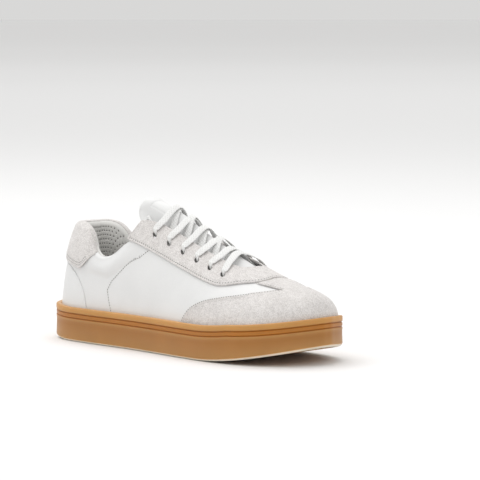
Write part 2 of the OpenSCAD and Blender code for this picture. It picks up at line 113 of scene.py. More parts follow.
def bend(p0, p1, p2, p3, t):
    return 0.5 * (2 * p1 + (p2 - p0) * t + (2 * p0 - 5 * p1 + 4 * p2 - p3) * t * t
                  + (3 * p1 - p0 - 3 * p2 + p3) * t ** 3)


def run(values, t):
    """A smooth run through the values, at positions t counted in values."""
    c = np.asarray(values, float)
    t = np.asarray(t, float)
    n = len(c) - 1
    k = np.clip(np.floor(t).astype(int), 0, n - 1)
    a, b = c[k], c[k + 1]
    wide = t.shape + (1,) * (c.ndim - 1)
    before = np.where((k > 0).reshape(wide), c[np.maximum(k - 1, 0)], 2 * a - b)
    after = np.where((k + 2 <= n).reshape(wide), c[np.minimum(k + 2, n)], 2 * b - a)
    return bend(before, a, b, after, (t - k).reshape(wide))


def unit(a):
    return a / np.maximum(np.linalg.norm(a, axis=-1, keepdims=True), 1e-12)


def rail(side):
    own = ST[:, [0, 1 if side < 0 else 2]]
    other = ST[:, [0, 2 if side < 0 else 1]]
    return np.vstack([other[1], own, other[LAST - 1]])


RAILS = {side: rail(side) for side in SIDES}


def edge(side, u):
    k = np.clip(np.floor(u).astype(int), 0, LAST - 1)
    r = RAILS[side]
    return bend(r[k], r[k + 1], r[k + 2], r[k + 3], (u - k)[..., None])


def outward(side, u):
    d = edge(side, np.minimum(u + 0.01, LAST)) - edge(side, np.maximum(u - 0.01, 0))
    return unit(side * np.stack([-d[..., 1], d[..., 0]], -1))


def ground(x):
    return 14.5 * np.clip((x - 50) / 100, 0, None) ** 1.8 + 2 * np.clip((-110 - x) / 40, 0, None) ** 2


def toe_share(x):
    return np.clip((x - 90) / 60, 0, 1)


def rim(x):
    return ground(x) + 29 - 5 * toe_share(x)


def deck(x):
    return ground(x) + 15.5 - 3 * toe_share(x)


def ridge(u):
    return run(ST[:, 3:6], np.clip(u, 0, LAST))


def ridge_n(u):
    d = ridge(u + 0.02) - ridge(u - 0.02)
    return unit(np.stack([-d[..., 2], 0 * d[..., 0], np.maximum(d[..., 0], 0.001)], -1))


def skin(side, u, v):
    u, v = np.broadcast_arrays(np.asarray(u, float), np.asarray(v, float))
    n = outward(side, u)
    foot = edge(side, u) - UPPER_IN * n
    p = np.concatenate([foot, (deck(foot[..., 0]) + 0.6)[..., None]], -1)
    q = ridge(u)
    flat = p - q
    flat[..., 2] = 0
    flat = unit(flat)
    up = ridge_n(u)
    lie = flat - up * np.sum(flat * up, -1, keepdims=True) * np.clip((u - 4) / 2, 0, 1)[..., None]
    a = p + np.concatenate([n * run(ST[:, 7], u)[..., None], run(ST[:, 6], u)[..., None]], -1)
    b = q + lie * run(ST[:, 8], u)[..., None]
    w = v[..., None]
    return (1 - w) ** 3 * p + 3 * (1 - w) ** 2 * w * a + 3 * (1 - w) * w * w * b + w ** 3 * q


def skin_n(side, u, v):
    u, v = np.broadcast_arrays(np.asarray(u, float), np.asarray(v, float))
    w = np.minimum(v, 0.96)
    du = skin(side, np.minimum(u + 0.02, LAST), w) - skin(side, np.maximum(u - 0.02, 0), w)
    dv = skin(side, u, w + 0.02) - skin(side, u, np.maximum(w - 0.02, 0))
    n = side * unit(np.cross(dv, du))
    share = np.clip((v - 0.96) / 0.04, 0, 1)[..., None]
    return unit(n * (1 - share) + ridge_n(u) * share)


def under(side, u, v, d):
    d = np.broadcast_to(np.asarray(d, float), np.broadcast(u, v).shape)
    return skin(side, u, v) - d[..., None] * skin_n(side, u, v)


def smooth(x):
    x = np.clip(x, 0, 1)
    return x * x * (3 - 2 * x)


# ---- materials -------------------------------------------------------------
def shader(name, rough, sheen=0.0, specular=0.5, coat=0.0, subsurface=0.0):
    mat = bpy.data.materials.new(name)
    mat.use_nodes = True
    tree = mat.node_tree
    bsdf = tree.nodes["Principled BSDF"]
    bsdf.inputs["Roughness"].default_value = rough
    bsdf.inputs["Sheen Weight"].default_value = sheen
    bsdf.inputs["Sheen Roughness"].default_value = 0.5
    bsdf.inputs["Specular IOR Level"].default_value = specular
    bsdf.inputs["Coat Weight"].default_value = coat
    bsdf.inputs["Coat Roughness"].default_value = 0.25
    bsdf.inputs["Subsurface Weight"].default_value = subsurface
    bsdf.inputs["Subsurface Scale"].default_value = 0.002
    return mat, tree, bsdf


def node(tree, kind, links=(), **settings):
    """A new node; settings named in_... are for its inputs."""
    made = tree.nodes.new(kind)
    for key, value in settings.items():
        if key.startswith("in_"):
            made.inputs[key[3:].replace("_", " ")].default_value = value
        else:
            setattr(made, key, value)
    for socket, source in links:
        tree.links.new(source, made.inputs[socket])
    return made


def object_place(tree):
    return node(tree, "ShaderNodeTexCoord").outputs["Object"]


def noise(tree, scale, detail=3.0, rough=0.55, stretch=None):
    """A noise over the object's own metres; scale is in features per metre."""
    place = object_place(tree)
    if stretch:
        place = node(tree, "ShaderNodeMapping", [("Vector", place)], in_Scale=stretch).outputs[0]
    return node(tree, "ShaderNodeTexNoise", [("Vector", place)],
                in_Scale=scale, in_Detail=detail, in_Roughness=rough).outputs["Fac"]


def cells(tree, scale):
    """Soft round cells, scale of them per metre."""
    return node(tree, "ShaderNodeTexVoronoi", [("Vector", object_place(tree))],
                feature="SMOOTH_F1", in_Scale=scale).outputs["Distance"]


def ramp(tree, source, stops):
    made = node(tree, "ShaderNodeValToRGB", [("Fac", source)])
    elements = made.color_ramp.elements
    while len(elements) < len(stops):
        elements.new(0.5)
    for element, (place, colour) in zip(elements, stops):
        element.position = place
        element.color = (*colour, 1)
    return made.outputs["Color"]


def multiply(tree, a, b):
    """Two colours, one darkened by the other."""
    made = node(tree, "ShaderNodeMix", data_type="RGBA", blend_type="MULTIPLY")
    made.inputs[0].default_value = 1.0
    tree.links.new(a, made.inputs[6])
    tree.links.new(b, made.inputs[7])
    return made.outputs[2]


def add(tree, a, b, share):
    """a plus a share of b."""
    made = node(tree, "ShaderNodeMath", operation="MULTIPLY_ADD")
    tree.links.new(b, made.inputs[0])
    made.inputs[1].default_value = share
    tree.links.new(a, made.inputs[2])
    return made.outputs[0]


def bumpy(tree, bsdf, height, depth, strength):
    made = node(tree, "ShaderNodeBump", [("Height", height)],
                in_Strength=strength, in_Distance=depth)
    tree.links.new(made.outputs["Normal"], bsdf.inputs["Normal"])


def paint(tree, bsdf, colour, rough=None):
    tree.links.new(colour, bsdf.inputs["Base Color"])
    if rough is not None:
        tree.links.new(rough, bsdf.inputs["Roughness"])


def spread(tree, source, low, high):
    """A value of 0 to 1 moved to low to high."""
    made = node(tree, "ShaderNodeMapRange", [("Value", source)],
                in_To_Min=low, in_To_Max=high)
    return made.outputs[0]


def smooth_leather():
    mat, tree, bsdf = shader("smooth_leather", 0.5, sheen=0.05, specular=0.45)
    grain = cells(tree, 1500)
    pores = noise(tree, 3200, 2)
    clouds = noise(tree, 28, 4)
    tone = ramp(tree, clouds, [(0.3, (0.735, 0.735, 0.73)), (0.75, (0.785, 0.785, 0.78))])
    creases = ramp(tree, grain, [(0.0, (0.97, 0.97, 0.97)), (0.6, (1, 1, 1))])
    paint(tree, bsdf, multiply(tree, tone, creases), spread(tree, clouds, 0.42, 0.56))
    bumpy(tree, bsdf, add(tree, grain, pores, 0.4), 0.00008, 0.35)
    return mat


def suede():
    mat, tree, bsdf = shader("suede", 0.95, sheen=0.25, specular=0.2)
    nap = noise(tree, 1150, 4, 0.7)
    tufts_fine = noise(tree, 2600, 2, 0.6)
    brushed = noise(tree, 210, 4, 0.6, stretch=(1.0, 1.6, 0.6))
    clouds = noise(tree, 45, 3)
    tone = ramp(tree, clouds, [(0.3, (0.725, 0.70, 0.685)), (0.7, (0.785, 0.76, 0.745))])
    tufts = ramp(tree, nap, [(0.36, (0.74, 0.73, 0.72)), (0.6, (1.08, 1.08, 1.08))])
    strokes = ramp(tree, brushed, [(0.35, (0.93, 0.925, 0.92)), (0.65, (1.04, 1.04, 1.04))])
    tone = multiply(tree, tone, tufts)
    paint(tree, bsdf, multiply(tree, tone, strokes))
    bumpy(tree, bsdf, add(tree, nap, tufts_fine, 0.5), 0.0006, 0.7)
    return mat


# the gum's colours by tone: groove, darkened as painted shade, band, wall, the wall's paler edges, lip,
# lightened as a painted highlight, and the pale foot, a painted highlight along the sole's bottom edge
GUM_TONES_WITH_PAINTED_LIGHT = [(0.0, (0.33, 0.11, 0.008)), (0.2, (0.45, 0.16, 0.014)), (0.4, (0.37, 0.158, 0.037)),
              (0.6, (0.44, 0.22, 0.066)), (0.75, (0.55, 0.27, 0.072)), (1.0, (0.88, 0.80, 0.66))]


def gum_rubber():
    mat, tree, bsdf = shader("gum_rubber", 0.42, specular=0.3, coat=0.05, subsurface=0.08)
    clouds = noise(tree, 30, 4)
    grain = noise(tree, 2600, 3)
    # the tone attribute picks the gum's colours, with painted shade in the grooves and at the lip's join
    # with the upper, and painted highlights on the lip and the foot
    layer = node(tree, "ShaderNodeAttribute", attribute_name="tone").outputs["Fac"]
    cloudy = ramp(tree, clouds, [(0.3, (0.93, 0.925, 0.91)), (0.7, (1.05, 1.05, 1.06))])
    paint(tree, bsdf, multiply(tree, ramp(tree, layer, GUM_TONES_WITH_PAINTED_LIGHT), cloudy),
          spread(tree, clouds, 0.34, 0.48))
    bumpy(tree, bsdf, grain, 0.0001, 0.25)
    return mat


# a wave texture of scale 1 repeats every 0.314 m, and one wave covers two threads
WAVE_SCALE = 0.157


def woven(name, colour, dark, pitch, depth):
    """Over and under threads, pitch metres apart, laid in the piece's UV metres."""
    mat, tree, bsdf = shader(name, 0.85, sheen=0.2, specular=0.2)
    coords = node(tree, "ShaderNodeTexCoord")
    cloth = node(tree, "ShaderNodeMath", operation="MAXIMUM")
    for k, turn in enumerate((math.pi / 4, -math.pi / 4)):
        place = node(tree, "ShaderNodeMapping", [("Vector", coords.outputs["UV"])],
                     in_Rotation=(0, 0, turn))
        wave = node(tree, "ShaderNodeTexWave", [("Vector", place.outputs[0])],
                    in_Scale=WAVE_SCALE / pitch, in_Distortion=0.3, in_Detail=1.0)
        tree.links.new(wave.outputs["Fac"], cloth.inputs[k])
    fuzz = noise(tree, 2500, 3)
    tone = ramp(tree, cloth.outputs[0], [(0.35, dark), (0.85, colour)])
    faint = ramp(tree, fuzz, [(0.3, (0.93, 0.93, 0.93)), (0.7, (1, 1, 1))])
    paint(tree, bsdf, multiply(tree, tone, faint))
    bumpy(tree, bsdf, add(tree, cloth.outputs[0], fuzz, 0.25), depth, 0.7)
    return mat


def fleck(name, low, high, rough, scale, depth, sheen=0.0):
    """A material with fine grain, for small and inner parts."""
    mat, tree, bsdf = shader(name, rough, sheen=sheen, specular=0.3)
    grain = noise(tree, scale, 4, 0.65)
    paint(tree, bsdf, ramp(tree, grain, [(0.3, low), (0.7, high)]))
    bumpy(tree, bsdf, grain, depth, 0.5)
    return mat


LEATHER = smooth_leather()
SUEDE = suede()
GUM = gum_rubber()
COTTON = woven("cotton_lace", (0.85, 0.85, 0.84), (0.76, 0.76, 0.745), 0.0010, 0.0003)
LINING = woven("lining_textile", (0.62, 0.61, 0.59), (0.48, 0.47, 0.45), 0.0009, 0.0002)
PERFORATED = fleck("perforated_lining", (0.71, 0.70, 0.675), (0.79, 0.78, 0.755), 0.9, 900, 0.0002, 0.25)
# the walls and floors of the lining's pits are painted dark, painted shade in the perforations
PIT_SHADE = fleck("lining_pit_painted_shade", (0.22, 0.21, 0.19), (0.30, 0.29, 0.27), 0.95, 900, 0.0001)
# dark beads between the stitches, painted shade standing for the needle holes
NEEDLE_SHADE = fleck("needle_hole_painted_shade", (0.16, 0.155, 0.145), (0.24, 0.23, 0.22), 0.9, 2000, 0.0001)
FOOTBED = woven("footbed_textile", (0.74, 0.73, 0.71), (0.60, 0.59, 0.57), 0.0011, 0.0002)
FOAM = fleck("foam", (0.72, 0.66, 0.42), (0.82, 0.76, 0.52), 0.9, 1400, 0.0004)
EVA = fleck("eva", (0.78, 0.78, 0.76), (0.86, 0.86, 0.84), 0.8, 1600, 0.0003)
BOARD = fleck("board", (0.60, 0.52, 0.40), (0.72, 0.64, 0.50), 0.9, 700, 0.0002)
STIFF = fleck("stiffener", (0.66, 0.60, 0.50), (0.76, 0.70, 0.60), 0.8, 900, 0.0002)
# the facing tape is painted dark, so that its ring seen through each lace hole gives the hole painted
# shade
FACING_TAPE_SHADE = fleck("facing_tape", (0.22, 0.215, 0.21), (0.30, 0.295, 0.285), 0.85, 1100, 0.0002)
THREAD = fleck("thread", (0.58, 0.57, 0.55), (0.72, 0.71, 0.69), 0.6, 3000, 0.0001, 0.2)
FILM = fleck("aglet_film", (0.80, 0.80, 0.79), (0.88, 0.88, 0.87), 0.25, 400, 0.00005)


# ---- meshes ----------------------------------------------------------------
# points this near each other become one, and edges this short go, in metres
JOIN_M, TINY_M = 2e-6, 1e-7


def piece(name, points, faces, mats, stands_for=(), body="shoe", uv=None,
          face_mats=None, flat_mat=None, tone=None):
    """A closed piece from points in design mm; joins points that coincide."""
    mesh = bpy.data.meshes.new(name)
    mesh.from_pydata(to_frame(points).tolist(), [], [tuple(int(i) for i in f) for f in faces])
    for mat in mats if isinstance(mats, (list, tuple)) else [mats]:
        mesh.materials.append(mat)
    if face_mats is not None:
        mesh.polygons.foreach_set("material_index", face_mats)
    if uv is not None:
        layer = mesh.uv_layers.new(name="UVMap")
        corners = np.zeros(len(mesh.loops), int)
        mesh.loops.foreach_get("vertex_index", corners)
        layer.data.foreach_set("uv", np.asarray(uv, np.float32)[corners].ravel())
    if tone is not None:
        mesh.attributes.new("tone", "FLOAT", "POINT").data.foreach_set("value", tone)
    made = bmesh.new()
    made.from_mesh(mesh)
    bmesh.ops.remove_doubles(made, verts=made.verts, dist=JOIN_M)
    bmesh.ops.dissolve_degenerate(made, edges=made.edges, dist=TINY_M)
    bmesh.ops.recalc_face_normals(made, faces=made.faces)
    made.to_mesh(mesh)
    made.free()
    mesh.shade_smooth()
    if flat_mat is not None:
        index = np.zeros(len(mesh.polygons), np.int32)
        mesh.polygons.foreach_get("material_index", index)
        mesh.polygons.foreach_set("use_smooth", index != flat_mat)
    obj = bpy.data.objects.new(name, mesh)
    bpy.context.scene.collection.objects.link(obj)
    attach(obj, body)
    if stands_for:
        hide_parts(*stands_for)
    return obj


def grid_faces(rows, cols, start=0, wrap=False):
    """Quads of a grid of points, row by row; wrap joins the last column to the first."""
    r, c = np.meshgrid(np.arange(rows - 1), np.arange(cols if wrap else cols - 1), indexing="ij")
    a = r * cols + c
    b = r * cols + (c + 1) % cols
    return (np.stack([a, b, b + cols, a + cols], -1).reshape(-1, 4) + start).tolist()


def rim_of(rows, cols):
    """Indices round the border of a grid."""
    return ([c for c in range(cols)] + [r * cols + cols - 1 for r in range(1, rows)]
            + [(rows - 1) * cols + c for c in range(cols - 2, -1, -1)]
            + [r * cols for r in range(rows - 2, 0, -1)])


def border_faces(rows, cols, open_at):
    """Quads between the borders of two grids, one stored after the other, but for the
    first column ("col0") or the last row ("row_end"), where the other half joins on."""
    n = rows * cols
    faces = []
    loop = rim_of(rows, cols)
    for a, b in zip(loop, loop[1:] + loop[:1]):
        joined = min(a, b) >= n - cols if open_at == "row_end" else a % cols == 0 and b % cols == 0
        if not joined:
            faces.append([b, a, a + n, b + n])
    return faces


def shell(outer, inner, open_at):
    """Points and faces of a sheet between two grids of the same shape."""
    rows, cols = outer.shape[:2]
    points = np.vstack([outer.reshape(-1, 3), inner.reshape(-1, 3)])
    faces = grid_faces(rows, cols) + [f[::-1] for f in grid_faces(rows, cols, rows * cols)]
    return points, faces + border_faces(rows, cols, open_at)


def lengths(places):
    """Length run so far at each place, down the first axis."""
    steps = np.linalg.norm(np.diff(places, axis=0), axis=-1)
    return np.concatenate([np.zeros_like(steps[:1]), np.cumsum(steps, axis=0)])


def rounded(gap, radius):
    """Share of its full height that a rounded edge has reached at a gap from it."""
    return np.sqrt(np.clip(1 - (1 - np.minimum(gap / radius, 1)) ** 2, 0, 1))


def join(parts):
    """Several (points, faces) in one."""
    points, faces, start = [], [], 0
    for p, f in parts:
        points.append(p)
        faces += [[i + start for i in face] for face in f]
        start += len(p)
    return np.vstack(points), faces


# ---- sole ------------------------------------------------------------------
# points of a ring between two stations, and the cup's wall and bottom, in mm
RING_STEP = 12
WALL_T, TREAD_T = 2.9, 6.0


def ring(inset, height, base):
    """Closed ring of the outline: lateral heel to toe, then medial toe to heel. The
    inset is a number, or a function of the side and u."""
    u = np.linspace(0, LAST, LAST * RING_STEP + 1)
    halves = []
    for side in SIDES:
        deep = inset(side, u)[:, None] if callable(inset) else inset
        halves.append(edge(side, u) - deep * outward(side, u))
    flat = np.vstack([halves[0], halves[1][-2:0:-1]])
    return np.column_stack([flat, base(flat[:, 0]) + height])


def lid(n, start):
    """Faces across a ring of n points, laid from side to side."""
    half = n // 2
    faces = [[0, n - 1, 1], [half - 1, half + 1, half]]
    faces += [[k, n - k, n - k - 1, k + 1] for k in range(1, half - 1)]
    return [[i + start for i in f] for f in faces]


def stack(rings):
    """Points and faces of a closed solid through the rings."""
    n = len(rings[0])
    faces = grid_faces(len(rings), n, wrap=True)
    return np.vstack(rings), faces + lid(n, 0) + lid(n, n * (len(rings) - 1))


def arc(inset, height, radius, start, end, steps):
    """Insets and heights round an arc of the wall; angles from straight out, upwards."""
    return [(inset - radius * math.cos(a), height + radius * math.sin(a))
            for a in np.radians(np.linspace(start, end, steps))]


# the underside: how far in its field of ribs starts, the ribs' height, pitch and
# width, and the zigzag along each
TREAD_IN, TREAD_HIGH, TREAD_PITCH, RIB_WIDE = 6.5, 1.2, 7.0, 4.2
ZIGZAG_PITCH, ZIGZAG_HIGH = 12.0, 5.0
# how far a rib's ends stay from the field's edge, the step along it, and its profile:
# places across in rib widths, and heights
RIB_CLEAR, RIB_STEP = 1.5, 1.5
RIB_PROFILE = ((-0.5, TREAD_HIGH + 0.3), (-0.4, 0.15), (-0.3, 0), (0.3, 0), (0.4, 0.15),
               (0.5, TREAD_HIGH + 0.3))
TREAD_TONE = 0.7
SOLE_START, SOLE_END = ST[0, 0], ST[LAST, 0]
# the wall's two grooves under the lip: heights below the rim, and their depth
GROOVES = (-9.0, -5.4)
GROOVE_DEEP = 0.8
# radius of the foot's and of the lip's rounding, and the foot's tones from the ground up, palest at the
# bottom as a painted highlight; then rings up the wall, each with its inset, its height over the rim and
# its tone
FOOT_R, LIP_R = 3.2, 1.3
FOOT_TONES = (1.0, 1.0, 1.0, 1.0, 0.95, 0.75, 0.6, 0.58)
WALL_RINGS = [(0.3, -14.5, 0.4), (0.28, -12.5, 0.42), (0.1, -10.6, 0.58), (0.0, -9.9, 0.62)]
BAND_RINGS = [(0.2, -8.3, 0.22), (0.12, -7.2, 0.3), (0.2, -6.1, 0.22)]
LIP_RINGS = [(0.0, -4.4, 0.68), (0.0, -3.0, 0.74)]
# the lip's rounding takes a pale tone, a painted highlight; the cup's inside takes a middle tone
LIP_TONE, INNER_TONE = 0.76, 0.5
# the lip leans in to touch the upper: share of the way there, height, tone; its top is pale as a painted
# highlight and darkens towards the upper as painted shade
LIP_TOP = [(0.35, 0.0, 0.8), (0.7, -0.08, 0.8), (0.92, -0.3, 0.7), (1.0, -0.8, 0.5)]


def upper_inset(side, u):
    """How far in from the outline the upper's face stands, 1 mm below the rim."""
    shows = np.interp(u, [3.65, 3.8, 6.8, 6.95], [0.7, QUARTER_D, QUARTER_D, 0.0])
    uu, vv = np.meshgrid(u, np.linspace(0.02, 0.3, 90), indexing="ij")
    p = under(side, uu, vv, shows[:, None])
    k = np.argmin(np.abs(p[..., 2] - rim(p[..., 0]) + 1), 1)
    away = edge(side, u) - p[np.arange(len(u)), k, :2]
    return np.sum(away * outward(side, u), 1)


def lip_ring(share):
    """Inset of the lip's top, a share of the way from its edge to just inside the upper."""
    return lambda side, u: LIP_R + share * (upper_inset(side, u) + 0.15 - LIP_R)


# a groove's rows: inset, height and tone; its floor takes the darkest tone, painted shade
def groove(at):
    return [(0.12, at - 0.5, 0.2), (GROOVE_DEEP, at - 0.3, 0.0), (GROOVE_DEEP, at + 0.3, 0.0),
            (0.25, at + 0.5, 0.15)]


def outsole():
    """The cup: each row is a ring's inset, height, base and tone, up outside, then in."""
    low, high = GROOVES
    rows = [(TREAD_IN + 0.5, TREAD_HIGH, ground, 0.7), (TREAD_IN, 0.0, ground, 0.9)]
    foot = arc(FOOT_R, FOOT_R, FOOT_R, -90, 0, len(FOOT_TONES))
    rows += [(*place, ground, tone) for place, tone in zip(foot, FOOT_TONES)]
    wall = WALL_RINGS + groove(low) + BAND_RINGS + groove(high) + LIP_RINGS
    rows += [(inset, height, rim, tone) for inset, height, tone in wall]
    rows += [(*place, rim, LIP_TONE) for place in arc(LIP_R, -LIP_R, LIP_R, 0, 90, 6)]
    rows += [(lip_ring(share), height, rim, tone) for share, height, tone in LIP_TOP]
    rows += [(WALL_T, -2.8, rim, INNER_TONE), (WALL_T, TREAD_T, ground, INNER_TONE)]
    points, faces = stack([ring(*row[:3]) for row in rows])
    tones = np.repeat([row[3] for row in rows], len(points) // len(rows))
    piece("outsole_cup", points, faces, GUM, ["outsole"], tone=tones)


def tread():
    """Zigzag ribs across the underside, level with its rim."""
    sides = [edge(side, np.linspace(0, LAST, 400)) for side in SIDES]
    parts = []
    for x in np.arange(SOLE_START + TREAD_PITCH, SOLE_END - TREAD_PITCH, TREAD_PITCH):
        reach = x + np.array([-RIB_WIDE, 0, ZIGZAG_HIGH + RIB_WIDE])
        lo, hi = (np.interp(reach, line[:, 0], line[:, 1]) for line in sides)
        lo, hi = lo.max() + TREAD_IN + RIB_CLEAR, hi.min() - TREAD_IN - RIB_CLEAR
        if hi - lo < 3 * TREAD_PITCH:
            continue
        y = np.linspace(lo, hi, int((hi - lo) / RIB_STEP) + 2)
        wave = np.abs((y / ZIGZAG_PITCH) % 1 - 0.5) * 2 * ZIGZAG_HIGH
        bar = []
        for across, high in RIB_PROFILE:
            px = x + wave + across * RIB_WIDE
            bar.append(np.column_stack([px, y, ground(px) + high]))
        n = len(bar)
        points = np.stack(bar, 1).reshape(-1, 3)
        ends = [list(range(n)), list(range(len(points) - n, len(points)))]
        parts.append((points, grid_faces(len(y), n, wrap=True) + ends))
    points, faces = join(parts)
    tones = np.full(len(points), TREAD_TONE)
    piece("outsole_tread", points, faces, GUM, tone=tones)


# the inside of the vamp lining's foot, and the footbed's rings from below: inset from
# there, and height over the deck
LINING_D, LINING_T = 4.55, 0.8
BOARD_IN = UPPER_IN + LINING_D + LINING_T + 0.5
FOAM_RINGS = ((0.9, 2.0), (0.3, 2.4), (0.3, 5.1), (0.9, 5.6))
COVER_RINGS = ((0.5, 5.75), (0.25, 5.9), (0.2, 6.4), (0.5, 6.8), (1.2, 7.0), (4, 6.8), (12, 6.4))


def footbed():
    """The foam bed and its textile cover, both softly rounded at the edge."""
    points, faces = stack([ring(BOARD_IN + inset, high, deck) for inset, high in FOAM_RINGS])
    bed = piece("footbed_pad", points, faces, FOAM, ["footbed_foam"])
    points, faces = stack([ring(BOARD_IN + inset, high, deck) for inset, high in COVER_RINGS])
    piece("footbed_top", points, faces, FOOTBED, ["footbed_cover"],
          uv=points[:, :2] * MM)


outsole()
tread()
footbed()


# ---- cutting panels from the skin ------------------------------------------
# rows of points laid along a cut edge, in mm from it
ROWS = (0.25, 0.6, 1.1, 1.7, 2.4, 3.1)
# rough size of one u and of one v on the skin, in mm
U_MM, V_MM = 30.0, 115.0
UV_MM = np.array([U_MM, V_MM])
SAME = 1e-6
WALK_STEP = 1.4


def walk(points):
    """The smooth run through a list of (u, v), in even steps on the skin."""
    fine = run(points, np.linspace(0, len(points) - 1, 30 * (len(points) - 1) + 1))
    fine = np.clip(fine, 0, [LAST, 1])
    place = skin(-1, fine[:, 0], fine[:, 1])
    far = lengths(place)
    at = np.linspace(0, far[-1], max(int(round(far[-1] / WALK_STEP)), 2) + 1)
    return np.stack([np.interp(at, far, fine[:, i]) for i in (0, 1)], 1)


def aside(line, distance, closed=False):
    """The line moved to its left on the skin, in mm."""
    if closed:
        padded = np.vstack([line[-1], line, line[0]])
        return aside(padded, distance)[1:-1]
    u, v = line.T
    h = 0.01
    u0, u1 = np.maximum(u - h, 0), np.minimum(u + h, LAST)
    v0, v1 = np.maximum(v - h, 0), np.minimum(v + h, 1)
    pu = (skin(-1, u1, v) - skin(-1, u0, v)) / (u1 - u0)[:, None]
    pv = (skin(-1, u, v1) - skin(-1, u, v0)) / (v1 - v0)[:, None]
    along = unit(np.gradient(skin(-1, u, v), axis=0))
    left = unit(np.cross(skin_n(-1, u, v), along)) * distance
    guu, guv, gvv = (pu * pu).sum(1), (pu * pv).sum(1), (pv * pv).sum(1)
    su, sv = (left * pu).sum(1), (left * pv).sum(1)
    det = guu * gvv - guv * guv
    return line + np.stack([(gvv * su - guv * sv) / det, (guu * sv - guv * su) / det], 1)


def inside(points, loop):
    """Which points lie inside a closed loop, by crossings."""
    x, y = points.T
    hit = np.zeros(len(points), bool)
    for (x0, y0), (x1, y1) in zip(loop, np.roll(loop, -1, axis=0)):
        if y0 != y1:
            hit ^= ((y0 > y) != (y1 > y)) & (x < (x1 - x0) * (y - y0) / (y1 - y0) + x0)
    return hit


def nearest(places, points):
    """Each point's distance from the nearest of the places."""
    tree = kdtree.KDTree(len(places))
    for k, p in enumerate(places):
        tree.insert(p, k)
    tree.balance()
    return np.array([tree.find(p)[2] for p in points])


def merged(lines):
    """The lines with neighbouring edges joined end to end."""
    stretches = []
    for kind, line in lines:
        if kind == "edge" and stretches and stretches[-1][0] == "edge":
            stretches[-1] = ("edge", np.vstack([stretches[-1][1], line[1:]]))
        else:
            stretches.append((kind, line))
    return stretches


def hold_ends(moved, line, seam_u):
    """Keeps the ends of a row on the seams that its edge runs into."""
    for end in (0, -1):
        if abs(line[end, 1] - 1) < SAME:
            moved[end, 1] = 1
        elif any(abs(line[end, 0] - u) < SAME for u in seam_u):
            moved[end, 0] = line[end, 0]


def row_points(loop, edges, edge_places, seam_u, rows):
    """Points in rows beside the cut edges, and each row's distance from its edge."""
    points, gaps = [], []
    for far in rows:
        for line, closed in edges:
            moved = np.clip(aside(line, far, closed), 0, [LAST, 1])
            if not closed:
                hold_ends(moved, line, seam_u)
            ok = inside(moved * UV_MM, loop * UV_MM)
            if not closed:
                ok[[0, -1]] = True
            ok &= nearest(edge_places, skin(-1, *moved.T)) > 0.8 * far
            points.append(moved[ok])
            gaps.append(np.full(ok.sum(), far))
    return points, gaps


def fill_points(loop, holes, edge_places, sewn, grain, clear):
    """A staggered grid of points over the rest of the panel, and their distances from
    the nearest edge, which are more than clear."""
    lo, hi = loop.min(0), loop.max(0)
    step = grain / UV_MM
    gu, gv = np.meshgrid(*(np.arange(lo[k], hi[k], step[k]) for k in (0, 1)), indexing="ij")
    gu[:, 1::2] += grain / U_MM / 2
    fill = np.stack([gu.ravel(), gv.ravel()], 1)
    fill = fill[inside(fill, loop)]
    for hole in holes:
        fill = fill[~inside(fill, hole)]
    place = skin(-1, *fill.T)
    gap = nearest(edge_places, place)
    ok = gap > clear
    if sewn:
        ok &= nearest(np.vstack([skin(-1, *line.T) for line in sewn]), place) > 0.6 * grain
    return fill[ok], gap[ok]


def cut(outline, holes=(), grain=2.2, rows=ROWS):
    """A panel's half in (u, v): its points, triangles, rim segments, and each point's
    distance in mm from the nearest cut edge. The outline runs counter-clockwise in
    stretches, each ("edge" or "seam", points); it starts with an edge."""
    lines = [(kind, walk(points)) for kind, points in outline]
    loop = np.vstack([line[:-1] for _, line in lines])
    marks = [[kind == "edge"] * (len(line) - 1) for kind, line in lines]
    marks += [[True] * len(hole) for hole in holes]
    stretches = merged(lines)
    sewn = [line for kind, line in stretches if kind == "seam"]
    edges = [(line if sewn else line[:-1], not sewn) for kind, line in stretches if kind == "edge"]
    edges += [(hole, True) for hole in holes]
    edge_places = np.vstack([skin(-1, *line.T) for line, _ in edges])
    seam_u = {float(line[0, 0]) for line in sewn if np.ptp(line[:, 0]) < SAME}

    loops = [loop, *holes]
    outer = np.vstack(loops)
    points, gaps = row_points(loop, edges, edge_places, seam_u, rows)
    fill, fill_gaps = fill_points(loop, holes, edge_places, sewn, grain, rows[-1] + 0.5 * grain)
    points = np.vstack([outer, *points, fill])
    gaps = np.concatenate([nearest(edge_places, skin(-1, *outer.T)), *gaps, fill_gaps])
    bonds, start = [], 0
    for part in loops:
        n = len(part)
        bonds += [(start + i, start + (i + 1) % n) for i in range(n)]
        start += n

    verts, _, tris, origin, _, _ = delaunay_2d_cdt(
        [Vector(p) for p in (points * UV_MM).tolist()], bonds, [], 2, SAME)
    source = np.array([o[0] if o else -1 for o in origin])
    where = {s: i for i, s in enumerate(source)}
    known = source >= 0
    uv = np.where(known[:, None], points[source], np.array([v[:] for v in verts]) / UV_MM)
    tris = np.array(tris)
    for hole in holes:
        tris = tris[~inside(uv[tris].mean(1), hole)]
    rim_pairs = [(where[a], where[b]) for (a, b), mark in zip(bonds, sum(marks, []))
                 if mark and a in where and b in where]
    return {"uv": uv, "tris": tris.tolist(), "rim": rim_pairs,
            "gap": np.where(known, gaps[source], 0.0)}


# the radius of a panel's edge, and how far in from it the stitches run, in mm
EDGE_ROLL = 0.7
STITCH_IN, GUARD_STITCH_IN = 2.3, 1.4
# how far a raw suede edge stands off the leather under it, and over what width
EDGE_LIFT, LIFT_IN = 0.5, 1.2


def stitch_dip(gap, deep):
    """The groove that a row of stitches presses into a panel."""
    return deep * np.exp(-((gap - STITCH_IN) / 0.7) ** 2)


